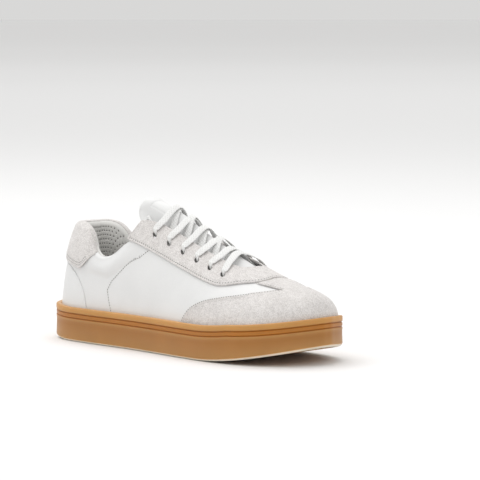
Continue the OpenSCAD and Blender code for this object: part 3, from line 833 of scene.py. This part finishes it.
def layers(cutting, side, depth, thickness, groove, roll, lift):
    """Points and faces of one side of a panel, closed but at its seams."""
    u, v = cutting["uv"].T
    gap = cutting["gap"]
    fall = roll * (1 - rounded(gap, roll)) + stitch_dip(gap, groove)
    base = depth(u, v) if callable(depth) else np.full(len(u), float(depth))
    top = under(side, u, v, base + fall)
    low = under(side, u, v, base + thickness - lift * smooth(1 - gap / LIFT_IN))
    n = len(u)
    faces = cutting["tris"] + [[i + n for i in t[::-1]] for t in cutting["tris"]]
    faces += [[b, a, a + n, b + n] for a, b in cutting["rim"]]
    return np.vstack([top, low]), faces


def panel(name, cutting, depth, thickness, mat, stands_for, sides=SIDES,
          groove=0.0, roll=EDGE_ROLL, lift=0.0):
    """A sheet of one thickness; depth is a number, or a function of u and v."""
    points, faces = join([layers(cutting, side, depth, thickness, groove, roll, lift)
                          for side in sides])
    return piece(name, points, faces, mat, stands_for, uv=points[:, [0, 2]] * MM)


# ---- stitches --------------------------------------------------------------
def stitch_shape():
    """One thread stitch along x: a low arch, one unit long, wide and high."""
    rings = []
    for x, r in ((-0.5, 0.25), (-0.36, 0.8), (0, 1.0), (0.36, 0.8), (0.5, 0.25)):
        a = np.linspace(0, 2 * np.pi, 6, endpoint=False)
        rings.append(np.column_stack([np.full(6, x), 0.5 * r * np.cos(a),
                                      0.5 * r * np.sin(a) + 0.25 - 1.6 * x * x]))
    faces = grid_faces(5, 6, wrap=True) + [[5, 4, 3, 2, 1, 0], [24, 25, 26, 27, 28, 29]]
    return np.vstack(rings), faces


STITCH, STITCH_FACES = stitch_shape()
STITCH_WIDE, STITCH_HIGH = 0.62, 0.45
# a stitch's share of the pitch, and the size of the dark bead of painted shade that stands for the needle
# hole between two stitches, in mm
STITCH_SHARE = 0.62
NEEDLE_SHADE_LONG, NEEDLE_SHADE_WIDE, NEEDLE_SHADE_HIGH = 0.95, 0.85, 0.16


def stitch_row(place, normal, pitch):
    """Stitches, and between them dark beads of painted shade for the needle holes, along a line of places
    on a surface: points, faces and the faces' materials."""
    far = lengths(place)
    points, faces, tags = [], [], []
    stitch = (STITCH_SHARE * pitch, STITCH_WIDE, STITCH_HIGH)
    needle_shade = (NEEDLE_SHADE_LONG, NEEDLE_SHADE_WIDE, NEEDLE_SHADE_HIGH)
    for start, size, tag in ((0.5, stitch, 0), (1.0, needle_shade, 1)):
        at = np.arange(pitch * start, far[-1] - 0.3 * pitch, pitch)
        if not len(at):
            continue

        def spot(values, where):
            return np.stack([np.interp(where, far, values[:, i]) for i in range(3)], 1)

        n = unit(spot(normal, at))
        t = unit(spot(place, at + 0.3) - spot(place, at - 0.3))
        axes = (t, np.cross(n, t), n)
        shape = sum(STITCH[None, :, i:i + 1] * size[i] * axes[i][:, None] for i in range(3))
        begin = sum(len(p) for p in points)
        points.append((spot(place, at)[:, None] + shape).reshape(-1, 3))
        faces += [[i + k * len(STITCH) + begin for i in face]
                  for k in range(len(at)) for face in STITCH_FACES]
        tags += [tag] * (len(at) * len(STITCH_FACES))
    return (np.vstack(points) if points else np.zeros((0, 3))), faces, tags


def thread_piece(name, rows):
    rows = [row for row in rows if len(row[0])]
    points, faces = join([row[:2] for row in rows])
    return piece(name, points, faces, [THREAD, NEEDLE_SHADE],
                 face_mats=sum((row[2] for row in rows), []))


def stitches(name, rows, pitch):
    """Thread along rows of (side, (u, v) line, depth)."""
    parts = []
    for side, line, depth in rows:
        place = under(side, line[:, 0], line[:, 1], depth)
        parts.append(stitch_row(place, skin_n(side, line[:, 0], line[:, 1]), pitch))
    return thread_piece(name, parts)


# ---- panels ----------------------------------------------------------------
# the lace holes' line, places and radius in mm
HOLE_V = 0.63
HOLES = [5.62 + 0.456 * k for k in range(6)]
HOLE_R = 2.6


def graph(points):
    """A smooth function of u through the given points."""
    fine = run(points, np.linspace(0, len(points) - 1, 40 * (len(points) - 1) + 1))
    return lambda u: np.interp(u, fine[:, 0], fine[:, 1])


def round_hole(u):
    """A lace hole's loop, clockwise, so that the leather lies to its left."""
    v, h = HOLE_V, 0.01
    pu = np.linalg.norm(skin(-1, u + h, v) - skin(-1, u - h, v)) / (2 * h)
    pv = np.linalg.norm(skin(-1, u, v + h) - skin(-1, u, v - h)) / (2 * h)
    a = -np.linspace(0, 2 * np.pi, 16, endpoint=False)
    return np.column_stack([u + HOLE_R / pu * np.cos(a), v + HOLE_R / pv * np.sin(a)])


# the dotted seam between the quarter and the padded collar, from the sole up
COLLAR_SEAM = [(4.56, 0), (4.55, 0.091), (4.47, 0.154), (4.40, 0.217), (4.51, 0.274), (4.81, 0.33),
               (5.28, 0.436), (5.54, 0.514)]
TOPLINE = graph([(0, 0.5), (1, 0.5), (2, 0.499), (2.7, 0.495), (3.18, 0.48), (3.5, 0.44), (3.72, 0.382),
                 (3.92, 0.351), (4.15, 0.346), (4.38, 0.369), (4.55, 0.405), (4.72, 0.455), (4.9, 0.5),
                 (5.15, 0.525), (5.56, 0.53)])

# the padded collar's cross-section: t 0-1 climbs the outside, 1-2 rolls over the top,
# 2-3 goes down the inside
VALLEY = graph([(0, 0.24), (2, 0.24), (3.3, 0.25), (4.1, 0.248), (4.4, 0.25), (4.6, 0.285), (4.81, 0.33),
                (5.28, 0.436), (5.6, 0.525)])
SWELL = graph([(0, 0.9), (2, 1.0), (3.2, 1.2), (3.8, 2.0), (4.3, 2.3), (4.7, 2.0), (5.0, 1.0),
               (5.2, 0.2), (5.6, 0)])
ROLL_T = graph([(0, 8), (3, 8), (3.8, 7.6), (4.3, 7.2), (4.7, 6.2), (5.0, 4.6), (5.3, 3.2),
                (5.6, 2.8)])
# the outside's depth, and v and depth of the inside's foot
COLLAR_OUT = 1.7
COLLAR_LOW_V, COLLAR_LOW_D = 0.03, 3.25
# how far the pad bulges towards the foot below the roll, in mm
PADDED = 3.2


def collar(side, u, t):
    """A point of the collar's surface; u and t are arrays of one shape."""
    shoulder, reach = collar_shoulder(side, u)
    r = ROLL_T(u) / 2
    climb, over, down = np.clip(t, 0, 1), np.clip(t - 1, 0, 1), np.clip(t - 2, 0, 1)
    v = shoulder * climb
    x = np.clip((v - VALLEY(u)) / (shoulder - VALLEY(u)), 0, 1)
    swell = SWELL(u) * np.sin(np.pi * x ** 0.8 * 0.94) ** 1.5
    dent = 0.3 * np.exp(-((v - VALLEY(u)) / 0.045) ** 2) * smooth((u - 3.6) / 0.9)
    out = COLLAR_OUT - swell + dent
    turn = over * np.pi
    v = v + r / reach * np.sin(turn)
    d = out + r * (1 - np.cos(turn))
    v = v + (COLLAR_LOW_V - v) * down
    bulge = PADDED * np.sin(np.pi * np.clip(down / 0.6, 0, 1)) * smooth((4.9 - u) / 1.2)
    d = d + (COLLAR_LOW_D - d) * smooth((down - 0.3) / 0.55) + bulge
    return under(side, u, v, d)


def collar_n(side, u, t):
    """The normal of the collar's surface, away from the padding."""
    h = 0.004
    du = collar(side, u + h, t) - collar(side, np.maximum(u - h, 0), t)
    dt = collar(side, u, t + h) - collar(side, u, t - h)
    return side * unit(np.cross(dt, du))


def collar_shoulder(side, u):
    """v where the outside turns into the roll, and mm of skin per v there."""
    top = TOPLINE(u)
    reach = np.linalg.norm(skin(side, u, top) - skin(side, u, top - 0.05), axis=-1) / 0.05
    return top - ROLL_T(u) / 2 / reach, reach


def collar_front(t):
    """u of the collar's front end, along the dotted seam, as far as the profile goes."""
    shares = [0, 0.22, 0.38, 0.55, 0.66, 0.72, 0.85, 1.0]
    return np.interp(np.minimum(t, 1.0), shares, [p[0] for p in COLLAR_SEAM])


def seam_line(shift=0.0):
    """The collar's front end as a line of (u, v), moved forward by shift in u."""
    t = np.linspace(0, 1, 80)
    u = collar_front(t)
    return np.column_stack([u + shift, t * collar_shoulder(-1, u)[0]])


SEAM_LINE = seam_line()

# edges of the suede panels
EYESTAY_LOW = [(4.85, 0.505), (5.2, 0.51), (5.54, 0.512), (6.26, 0.506), (6.78, 0.503), (7.29, 0.499),
               (7.75, 0.503), (8.0, 0.522), (8.25, 0.56), (8.58, 0.626), (9.02, 0.725), (9.33, 0.85),
               (9.45, 1)]
EYESTAY_REAR = [(5.3, 0.7), (5.14, 0.672), (5.05, 0.62), (4.95, 0.56), (4.85, 0.505)]
EYESTAY_THROAT = [(8.6, 1), (8.5, 0.9), (8.2, 0.81), (7.7, 0.775), (7.1, 0.765), (6.4, 0.76), (5.8, 0.745),
                  (5.5, 0.725), (5.3, 0.7)]
GUARD_TOP = [(10.25, 0.785), (9.85, 0.7), (9.5, 0.625), (8.8, 0.508), (8.15, 0.424), (7.63, 0.356),
             (7.2, 0.268), (6.95, 0.16), (6.86, 0)]
STRIP_SIDE = [(9.0, 0.72), (9.35, 0.738), (9.65, 0.755), (10.25, 0.785)]


def eyestay():
    outline = [("edge", EYESTAY_THROAT), ("edge", EYESTAY_REAR), ("edge", EYESTAY_LOW),
               ("seam", [(9.45, 1), (8.6, 1)])]
    made = cut(outline, [round_hole(u) for u in HOLES], grain=2.0)
    panel("eyestay_suede", made, 0.0, OVERLAY_T, SUEDE, ["eyestay"],
          groove=0.3, lift=EDGE_LIFT)
    low = np.clip(aside(walk(EYESTAY_LOW), STITCH_IN), 0, [LAST, 1])
    stitches("eyestay_thread", [(side, low, 0.2) for side in SIDES], 2.5)


def strip_depth(u, v):
    """The strip dives under the front of the eyestay."""
    front = np.interp(v, [0.7, 0.85, 1], [9.02, 9.33, 9.45])
    return 1.5 * smooth((front + 0.1 - u) / 0.12)


def toe_guard():
    outline = [("edge", GUARD_TOP), ("edge", [(6.86, 0), (9, 0), (11, 0), (13, 0)]),
               ("seam", [(13, 0), (13, 0.5), (13, 1)]), ("seam", [(13, 1), (11, 1), (9.2, 1)]),
               ("edge", [(9.2, 1), (9.15, 0.9), (9.0, 0.72)]), ("edge", STRIP_SIDE)]
    made = cut(outline, grain=2.2)
    panel("toe_guard_suede", made, strip_depth, OVERLAY_T, SUEDE, ["toe_guard"],
          lift=EDGE_LIFT)
    top = aside(walk(GUARD_TOP), GUARD_STITCH_IN)
    strip = aside(walk(STRIP_SIDE[1:]), GUARD_STITCH_IN)
    # the row along the top stops short of its end
    rows = [(side, line, 0.05) for side in SIDES for line in (top[:-6], strip)]
    stitches("toe_guard_thread", rows, 2.2)


def quarter_depth(u, v):
    """The quarter dives under the padded collar behind the dotted seam."""
    front = np.interp(v, SEAM_LINE[:, 1], SEAM_LINE[:, 0])
    return QUARTER_D + 1.5 * smooth((front - 0.01 - u) / 0.12)


def quarters():
    top = [(12.5, 0.76), (11.6, 0.85), (10.7, 0.89), (9.7, 0.9), (8.9, 0.84), (8.3, 0.66), (7.6, 0.57),
           (6.6, 0.56), (5.6, 0.56), (5.0, 0.44), (4.6, 0.34), (4.2, 0.28), (3.8, 0.3), (3.4, 0.38),
           (2.8, 0.43), (1, 0.44), (0.06, 0.44)]
    outline = [("edge", [(0.06, 0), (4, 0), (8, 0), (12.9, 0)]),
               ("edge", [(12.9, 0), (12.85, 0.38), (12.5, 0.76)]), ("edge", top),
               ("edge", [(0.06, 0.44), (0.06, 0.2), (0.06, 0)])]
    made = cut(outline, grain=2.6, rows=ROWS[:4])
    for side, name in zip(SIDES, ("lateral", "medial")):
        panel(f"quarter_{name}_leather", made, quarter_depth, 1.2, LEATHER,
              [f"quarter_{name}"], sides=(side,))


def heel_panel():
    top = [(3.76, 0), (3.74, 0.083), (3.60, 0.158), (3.36, 0.215), (3.0, 0.258), (2.41, 0.288),
           (1.2, 0.31), (0, 0.315)]
    outline = [("edge", [(0, 0), (2, 0), (3.76, 0)]), ("edge", top),
               ("seam", [(0, 0.315), (0, 0.15), (0, 0)])]
    made = cut(outline, grain=2.4)
    panel("heel_panel_leather", made, 0.7, 0.95, LEATHER, ["heel_panel"],
          groove=0.1, roll=0.5)


def vamp_lining():
    top = [(8.9, 1), (8.8, 0.9), (8.5, 0.7), (8, 0.58), (7.2, 0.56), (6.2, 0.56), (5.5, 0.55), (5.08, 0.5)]
    outline = [("edge", [(5.06, 0.04), (8, 0.04), (13, 0.04)]),
               ("seam", [(13, 0.04), (13, 0.5), (13, 1)]), ("seam", [(13, 1), (11, 1), (8.9, 1)]),
               ("edge", top), ("edge", [(5.08, 0.5), (5.05, 0.26), (5.06, 0.04)])]
    made = cut(outline, grain=3.5, rows=ROWS[:2])
    panel("vamp_lining_textile", made, LINING_D, LINING_T, LINING,
          ["vamp_lining"], roll=0.3)


eyestay()
toe_guard()
quarters()
heel_panel()
vamp_lining()


# ---- collar ----------------------------------------------------------------
def collar_grid(side, cols, ts):
    """Rows of the profile by columns from the heel to the front."""
    t, c = np.meshgrid(ts, np.linspace(0, 1, cols), indexing="ij")
    return collar(side, c * collar_front(t), t)


def collar_pad():
    """The padding from the heel to the dotted seam, closed at its foot and its front."""
    ts = np.concatenate([np.linspace(0, 1, 46)[:-1], np.linspace(1, 2, 15)[:-1], np.linspace(2, 3, 26)])
    parts = []
    for side in SIDES:
        grid = collar_grid(side, 110, ts)
        rows, cols = grid.shape[:2]
        faces = grid_faces(rows, cols)
        last = (rows - 1) * cols
        faces += [[c, c + 1, last + c + 1, last + c] for c in range(cols - 1)]
        for k in range(rows // 2):
            a, b = k * cols + cols - 1, (rows - 1 - k) * cols + cols - 1
            a2, b2 = a + cols, b - cols
            faces.append([a, a2, b2, b] if a2 < b2 else [a, a2, b])
        parts.append((grid.reshape(-1, 3), faces))
    points, faces = join(parts)
    pad = piece("collar_pad", points, faces, LEATHER, ["collar_foam"],
                uv=points[:, [0, 2]] * MM)


TAB_LOW = graph([(0, 0.335), (1, 0.33), (1.95, 0.312), (2.6, 0.292), (3.1, 0.277), (3.36, 0.272),
                 (3.52, 0.285), (3.66, 0.306), (3.78, 0.333), (3.86, 0.352), (4.04, 0.38)])
# u of the tab's front end, t of its edge inside, and mm per u near the front end
TAB_END, TAB_INSIDE, TAB_U_MM = 3.86, 1.62, 33
TAB_T, TAB_ROLL = 1.3, 0.8
# shares across the tab at which its edges need extra rows
TAB_NEAR = [0.004, 0.012, 0.03, 0.97, 0.988, 0.996]


def tab_grids(side, u, share):
    """The tab's outer and inner grids and its normals."""
    shoulder, _ = collar_shoulder(side, u)
    low = np.minimum(TAB_LOW(u) / shoulder, 1.0)
    t = low + (TAB_INSIDE - low) * share
    p, n = collar(side, u, t), collar_n(side, u, t)
    far = lengths(p)
    gap = np.minimum(np.minimum(far, far[-1] - far), (TAB_END - u) * TAB_U_MM)
    fall = TAB_ROLL * (1 - rounded(gap, TAB_ROLL)) + stitch_dip(gap, 0.25)
    fine = 0.3 + 0.7 * smooth((TAB_END - u) / 0.3)
    base = smooth((1.15 - t) / 0.3) * fine
    thick = (TAB_T - fall) * fine
    return p + n * (base + thick)[..., None], p + n * (base * 0.96 + 0.02)[..., None], n


def heel_tab():
    """The suede tab follows the collar's surface, over the roll and a little way inside."""
    cols, rows = 90, 60
    shares = np.sort(np.concatenate([np.linspace(0, 1, rows - len(TAB_NEAR)), TAB_NEAR]))
    share, c = np.meshgrid(shares, np.linspace(0, 1, cols), indexing="ij")
    halves = [tab_grids(side, c * TAB_END, share) for side in SIDES]
    points, faces = join([shell(outer, inner, "col0") for outer, inner, _ in halves])
    piece("heel_tab_suede", points, faces, SUEDE, ["heel_tab"], uv=points[:, [0, 2]] * MM)
    parts = []
    j = np.arange(cols - 5)
    for outer, _, n in halves:
        far = lengths(outer)
        for inset in (STITCH_IN, STITCH_IN + 2.2):
            k = np.array([np.searchsorted(far[:, i], inset) for i in j])
            parts.append(stitch_row(outer[k, j], n[k, j], 2.2))
    thread_piece("heel_tab_thread", parts)


# the lining's first and last t and its last u, and its cells down and along
LINING_T0, LINING_T1, LINING_U = 1.45, 2.98, 4.93
CELL_ROWS, CELL_COLS = 23, 46
# rough length of one t over the collar's roll, and of one t down its inside, in mm
ROLL_MM, WALL_MM = 12.5, 56.0
# a hole's rim and its floor's radius, and its depth
HOLE_LIP, PIT_R, PIT_DEEP = 0.62, 0.5, 0.6


def lining_half(side):
    """Points, faces and the faces' materials of one side, with a pit in every second
    cell away from the borders."""
    wide = 2 * CELL_COLS + 1
    roll_mm = (2 - LINING_T0) * ROLL_MM
    at = np.linspace(0, roll_mm + (LINING_T1 - 2) * WALL_MM, 2 * CELL_ROWS + 1)
    ts = np.interp(at, [0, roll_mm, at[-1]], [LINING_T0, 2, LINING_T1])
    t, c = np.meshgrid(ts, np.linspace(0, 1, wide), indexing="ij")
    u = c * LINING_U
    lift = 0.4 + 0.45 * np.minimum(1, np.minimum((t - LINING_T0) * 8, (LINING_T1 - t) * 60))
    p, n = collar(side, u, t), collar_n(side, u, t)
    top, flat = p + n * lift[..., None], (p + n * 0.05).reshape(-1, 3)
    points = [top.reshape(-1, 3), flat]
    count = len(flat)
    faces, tags = [], []
    extra = 2 * count
    for r in range(CELL_ROWS):
        for k in range(CELL_COLS):
            a = 2 * r * wide + 2 * k
            centre, b = a + 1 + wide, a + 2 * wide
            rim_ids = [a, a + 1, a + 2, centre + 1, b + 2, b + 1, b, centre - 1]
            if (r + k) % 2 or r < 2 or r > CELL_ROWS - 4 or k == CELL_COLS - 1:
                faces += [[rim_ids[q - 1], rim_ids[q], rim_ids[q + 1], centre] for q in range(0, 8, 2)]
                tags += [0] * 4
                continue
            mid = points[0][centre]
            spoke = points[0][rim_ids] - mid
            spoke = spoke / np.linalg.norm(spoke, axis=1, keepdims=True)
            points += [mid + spoke * HOLE_LIP, mid + spoke * PIT_R - n.reshape(-1, 3)[centre] * PIT_DEEP]
            for q in range(8):
                w = (q + 1) % 8
                faces.append([rim_ids[q], rim_ids[w], extra + w, extra + q])
                faces.append([extra + q, extra + w, extra + 8 + w, extra + 8 + q])
            faces.append([extra + 8 + q for q in range(8)])
            # a pit's walls and floor take the second material, dark painted shade
            tags += [0, 1] * 8 + [1]
            extra += 16
    back = [f[::-1] for f in grid_faces(2 * CELL_ROWS + 1, wide, count)]
    back += border_faces(2 * CELL_ROWS + 1, wide, "col0")
    return np.vstack(points), faces + back, tags + [0] * len(back)


def collar_lining():
    """The perforated lining of the collar's inside."""
    halves = [lining_half(side) for side in SIDES]
    points, faces = join([half[:2] for half in halves])
    piece("collar_lining_perforated", points, faces, [PERFORATED, PIT_SHADE],
          ["collar_lining"], uv=points[:, [0, 2]] * MM, face_mats=halves[0][2] + halves[1][2], flat_mat=1)


collar_pad()
heel_tab()
collar_lining()
# a row just in front of the seam, without the places nearest to the sole
stitches("collar_thread", [(side, seam_line(0.03)[6:], QUARTER_D - 0.05) for side in SIDES], 2.3)


# ---- tongue ----------------------------------------------------------------
# ribs from the base to the free end, the end's lift, the swell under the lace, the
# rise in the throat's front, and the share of the way to the end where its lift begins
TONGUE = [
    [(8.45, 0.76), (7, 0.66), (5.4, 0.62), 0.0, 0, 0, 0.85],
    [(8.6, 0.82), (7, 0.71), (5.0, 0.66), 0.4, 0, 0.5, 0.85],
    [(8.75, 0.89), (7, 0.8), (4.87, 0.74), 3.0, 0.5, 1.8, 0.85],
    [(8.9, 0.95), (7, 0.9), (4.95, 0.87), 5.6, 4.6, 2.8, 0.65],
    [(8.95, 1), (7, 1), (5.03, 1), 4.4, 8.4, 3.2, 0.6]]
# depth of its face, half its thickness, and half its thickness at the edges
TONGUE_D, TONGUE_HALF, TONGUE_EDGE = 6.2, 3.3, 0.5
# the pressed outline: half width, distances of its lower and upper line from the top,
# corner radius
LABEL_HALF, LABEL_LOW, LABEL_HIGH, LABEL_R = 10.0, 34.0, 10.0, 1.5


def tongue_ribs():
    ribs = []
    for base, mid, top, lift, swell, rise, share in TONGUE:
        near = [mid[k] + share * (top[k] - mid[k]) for k in (0, 1)]
        front = [base[k] + 0.27 * (mid[k] - base[k]) for k in (0, 1)]
        ribs.append([(*base, 0.3), (*front, -rise), (*mid, -swell * 0.65), (*near, -swell), (*top, -lift)])
    return np.array(ribs)


def tongue_grid(across, along):
    """(u, v, depth offset) of one half, from its side to the middle and from its base to
    its free end."""
    rows = np.array([run(rib, np.linspace(0, 4, along)) for rib in tongue_ribs()])
    grid = run(rows, np.linspace(0, 4, across))
    grid[..., 1] = np.clip(grid[..., 1], 0, 1)
    return grid


def label_groove(across, from_top):
    """Depth of the pressed outline of a plain rectangle near the tongue's top."""
    mid = (LABEL_LOW + LABEL_HIGH) / 2
    dx = across - (LABEL_HALF - LABEL_R)
    dy = np.abs(from_top - mid) - ((LABEL_LOW - LABEL_HIGH) / 2 - LABEL_R)
    out = np.hypot(np.maximum(dx, 0), np.maximum(dy, 0)) + np.minimum(np.maximum(dx, dy), 0) - LABEL_R
    return 0.7 * np.exp(-(out / 0.55) ** 2) + 0.12 * (out < 0)


def tongue_layer(name, halves, upper, lower, mat, stands_for):
    """A layer between two heights over the tongue's middle surface."""
    sheets = []
    for mid, n, half, dent in halves:
        top, low = upper(half, dent), lower(half)
        sheets.append(shell(mid + n * top[..., None], mid + n * low[..., None], "row_end"))
    points, faces = join(sheets)
    return piece(name, points, faces, mat, stands_for, body="tongue", uv=points[:, :2] * MM)


def tongue():
    grid = tongue_grid(60, 150)
    u, v, d = grid[..., 0], grid[..., 1], grid[..., 2] + TONGUE_D + TONGUE_HALF
    halves = []
    for side in SIDES:
        mid = under(side, u, v, d)
        row, col = lengths(mid), lengths(mid.swapaxes(0, 1)).T
        to_top = col[:, -1:] - col
        gap = np.minimum(row, to_top)
        half = TONGUE_EDGE + (TONGUE_HALF - TONGUE_EDGE) * rounded(gap, 6.0)
        halves.append((mid, skin_n(side, u, v), half, label_groove(row[-1:] - row, to_top)))
    tongue_layer("tongue_shell_leather", halves, lambda half, dent: half - dent,
                 lambda half: np.maximum(half - 1.1, 0.04), LEATHER, ["tongue_shell"])
    core = tongue_layer("tongue_pad", halves, lambda half, dent: np.maximum(half - 1.2, 0.02),
                        lambda half: -np.maximum(half - 0.95, 0.02), FOAM, ["tongue_foam"])
    tongue_layer("tongue_lining_textile", halves, lambda half, dent: -np.maximum(half - 0.85, 0.04),
                 lambda half: -half, LINING, ["tongue_lining"])


tongue()


# ---- lace ------------------------------------------------------------------
# the lace's width and thickness, its depth over and under the panels, and where its
# tips lie
LACE_W, LACE_T = 6.6, 1.2
TOP_D = -0.2 - LACE_T / 2
LOW_D = QUARTER_D + 1 + 0.35 + LACE_T / 2 + 0.1
TIP, TIP_D = (5.21, 0.71), 4
# rings between two stops, and points in a ring
LACE_STEPS, LACE_SIDES = 14, 20
# how far the run from hole k arches over the tongue
ARCH = (0, 5, 4.8, 3.6, 2.3, 1.2)


def through_hole(side, k):
    """Stops from above hole k down through it: side, u, v, depth, width, thickness."""
    u = HOLES[k]
    return [(side, u + 0.02, HOLE_V + 0.056, TOP_D - 0.3, 6.2, LACE_T),
            (side, u, HOLE_V + 0.034, TOP_D - 0.1, 4.6, 1.3),
            (side, u, HOLE_V + 0.014, 1.1, 2.6, 1.3), (side, u, HOLE_V + 0.014, LOW_D, 3.0, 1.3)]


def climb(side, k, mid_d):
    """From under hole k, over the throat and down into hole k - 1 opposite."""
    return [(side, HOLES[k] - 0.1, 0.79, LOW_D, LACE_W, LACE_T),
            (0, HOLES[k] - 0.22, 1, mid_d - ARCH[k], LACE_W, LACE_T),
            (-side, HOLES[k - 1] + 0.12, 0.765, TOP_D - 0.65, LACE_W, LACE_T)] + through_hole(-side, k - 1)


def half_lace(side, mid_d):
    """From beside the front hole up to the tip; mid_d is the depth over the ridge."""
    stops = [(side, HOLES[5] + 0.02, 0.8, TOP_D - 1.1, LACE_W, LACE_T)] + through_hole(side, 5)
    for k in range(5, 0, -1):
        stops += climb(side if k % 2 else -side, k, mid_d)
    return stops + [(-side, TIP[0], TIP[1] + 0.03, TIP_D, 2.2, 1.6)]


def flattened(x, power):
    """Cosines or sines, pushed towards 1 and -1 for a flat, rounded section."""
    return np.sign(x) * np.abs(x) ** power


def lace():
    """The lace along its laced route; returns its length in mm."""
    stops = half_lace(1, -0.6)[::-1] + [(0, HOLES[5], 1, -1.6, LACE_W, LACE_T)] + half_lace(-1, 1.2)
    stops = np.array(stops, float)
    place, fore = [], []
    for side, u, v, d in stops[:, :4]:
        side = side or 1
        u, v = np.array(u), np.array(v)
        place.append(under(side, u, v, d))
        fore.append(unit(skin(side, u + 0.05, v) - skin(side, u - 0.05, v)))
    t = np.linspace(0, len(stops) - 1, LACE_STEPS * (len(stops) - 1) + 1)
    line, size = run(place, t), run(stops[:, 4:6], t)
    fore = unit(run(fore, t))
    along = unit(np.gradient(line, axis=0))
    wide = unit(fore - along * np.sum(fore * along, -1, keepdims=True))
    high = np.cross(along, wide)
    far = lengths(line)
    a = np.linspace(0, 2 * np.pi, LACE_SIDES, endpoint=False)
    across = size[:, :1] / 2 * flattened(np.cos(a), 0.8)
    up = size[:, 1:] / 2 * flattened(np.sin(a), 0.75)
    ribs = line[:, None] + wide[:, None] * across[..., None] + high[:, None] * up[..., None]
    points = ribs.reshape(-1, 3)
    ends = [list(range(LACE_SIDES))[::-1], list(range(len(points) - LACE_SIDES, len(points)))]
    uv = np.stack([np.repeat(far, LACE_SIDES), across.ravel()], 1) * MM
    piece("lace_cotton", points, grid_faces(len(ribs), LACE_SIDES, wrap=True) + ends, COTTON,
          ["lace"], uv=uv)
    return far[-1]


LACE_LENGTH = lace()

# ---- CAD nodes that stay ---------------------------------------------------
# the facing tape's dark colour is painted shade for the lace holes
for name, mat in (("midsole", EVA), ("lasting_board", BOARD), ("facing_lateral", FACING_TAPE_SHADE),
                  ("facing_medial", FACING_TAPE_SHADE), ("heel_counter", STIFF), ("toe_puff", STIFF),
                  ("aglet_lateral", FILM), ("aglet_medial", FILM)):
    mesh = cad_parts[name].data
    mesh.materials.clear()
    mesh.materials.append(mat)


# ---- stage -----------------------------------------------------------------
# how far the plain floor reaches, its tone near and far from the object, and the
# distances between which it gets paler, so that no horizon shows; all in metres
FLOOR_REACH = 80.0
FLOOR_TONES = (0.85, 0.97)
PALER_FROM, PALER_TO = 8.0, 15.0
# a softbox of this size or more hangs over the far floor and looks straight down
FAR_SIZE = 5.0
SOFTBOXES = [((-0.6, -0.1, 2.3), 2.4, 33), ((-1.5, -1.9, 1.3), 1.8, 4.5), ((1.9, -0.4, 1.6), 1.6, 6.5),
             ((-4.0, 4.2, 5.0), 8.0, 110)]


def make_stage():
    """A wide, plain, pale floor, a pale sky and soft lights."""
    mat, tree, bsdf = shader("stage_paper", 0.9, specular=0.1)
    coords = node(tree, "ShaderNodeTexCoord")
    far = node(tree, "ShaderNodeVectorMath", [("Vector", coords.outputs["Object"])], operation="LENGTH")
    share = node(tree, "ShaderNodeMapRange", [("Value", far.outputs["Value"])],
                 in_From_Min=PALER_FROM, in_From_Max=PALER_TO)
    stops = [(k, (tone, tone, tone)) for k, tone in enumerate(FLOOR_TONES)]
    paint(tree, bsdf, ramp(tree, share.outputs[0], stops))
    mesh = bpy.data.meshes.new("floor")
    xs = np.linspace(-FLOOR_REACH, FLOOR_REACH, 5)
    mesh.from_pydata([(x, y, -0.0002) for x in xs for y in xs], [], grid_faces(5, 5))
    mesh.materials.append(mat)
    floor = bpy.data.objects.new("floor", mesh)
    bpy.context.scene.collection.objects.link(floor)
    world = bpy.data.worlds.new("studio")
    world.use_nodes = True
    sky = world.node_tree.nodes["Background"]
    sky.inputs["Color"].default_value = (1.0, 0.995, 0.985, 1)
    sky.inputs["Strength"].default_value = 0.69
    bpy.context.scene.world = world
    for place, size, power in SOFTBOXES:
        data = bpy.data.lights.new("softbox", "AREA")
        data.shape, data.size, data.energy = "SQUARE", size, power
        lamp = bpy.data.objects.new("softbox", data)
        lamp.location = place
        lamp.rotation_mode = "QUATERNION"
        aim = Vector((0, 0, 0.05)) if size < FAR_SIZE else Vector((place[0], place[1], 0))
        lamp.rotation_quaternion = (aim - Vector(place)).to_track_quat("-Z", "Y")
        bpy.context.scene.collection.objects.link(lamp)
    bpy.context.scene.view_settings.view_transform = "Standard"


make_stage()
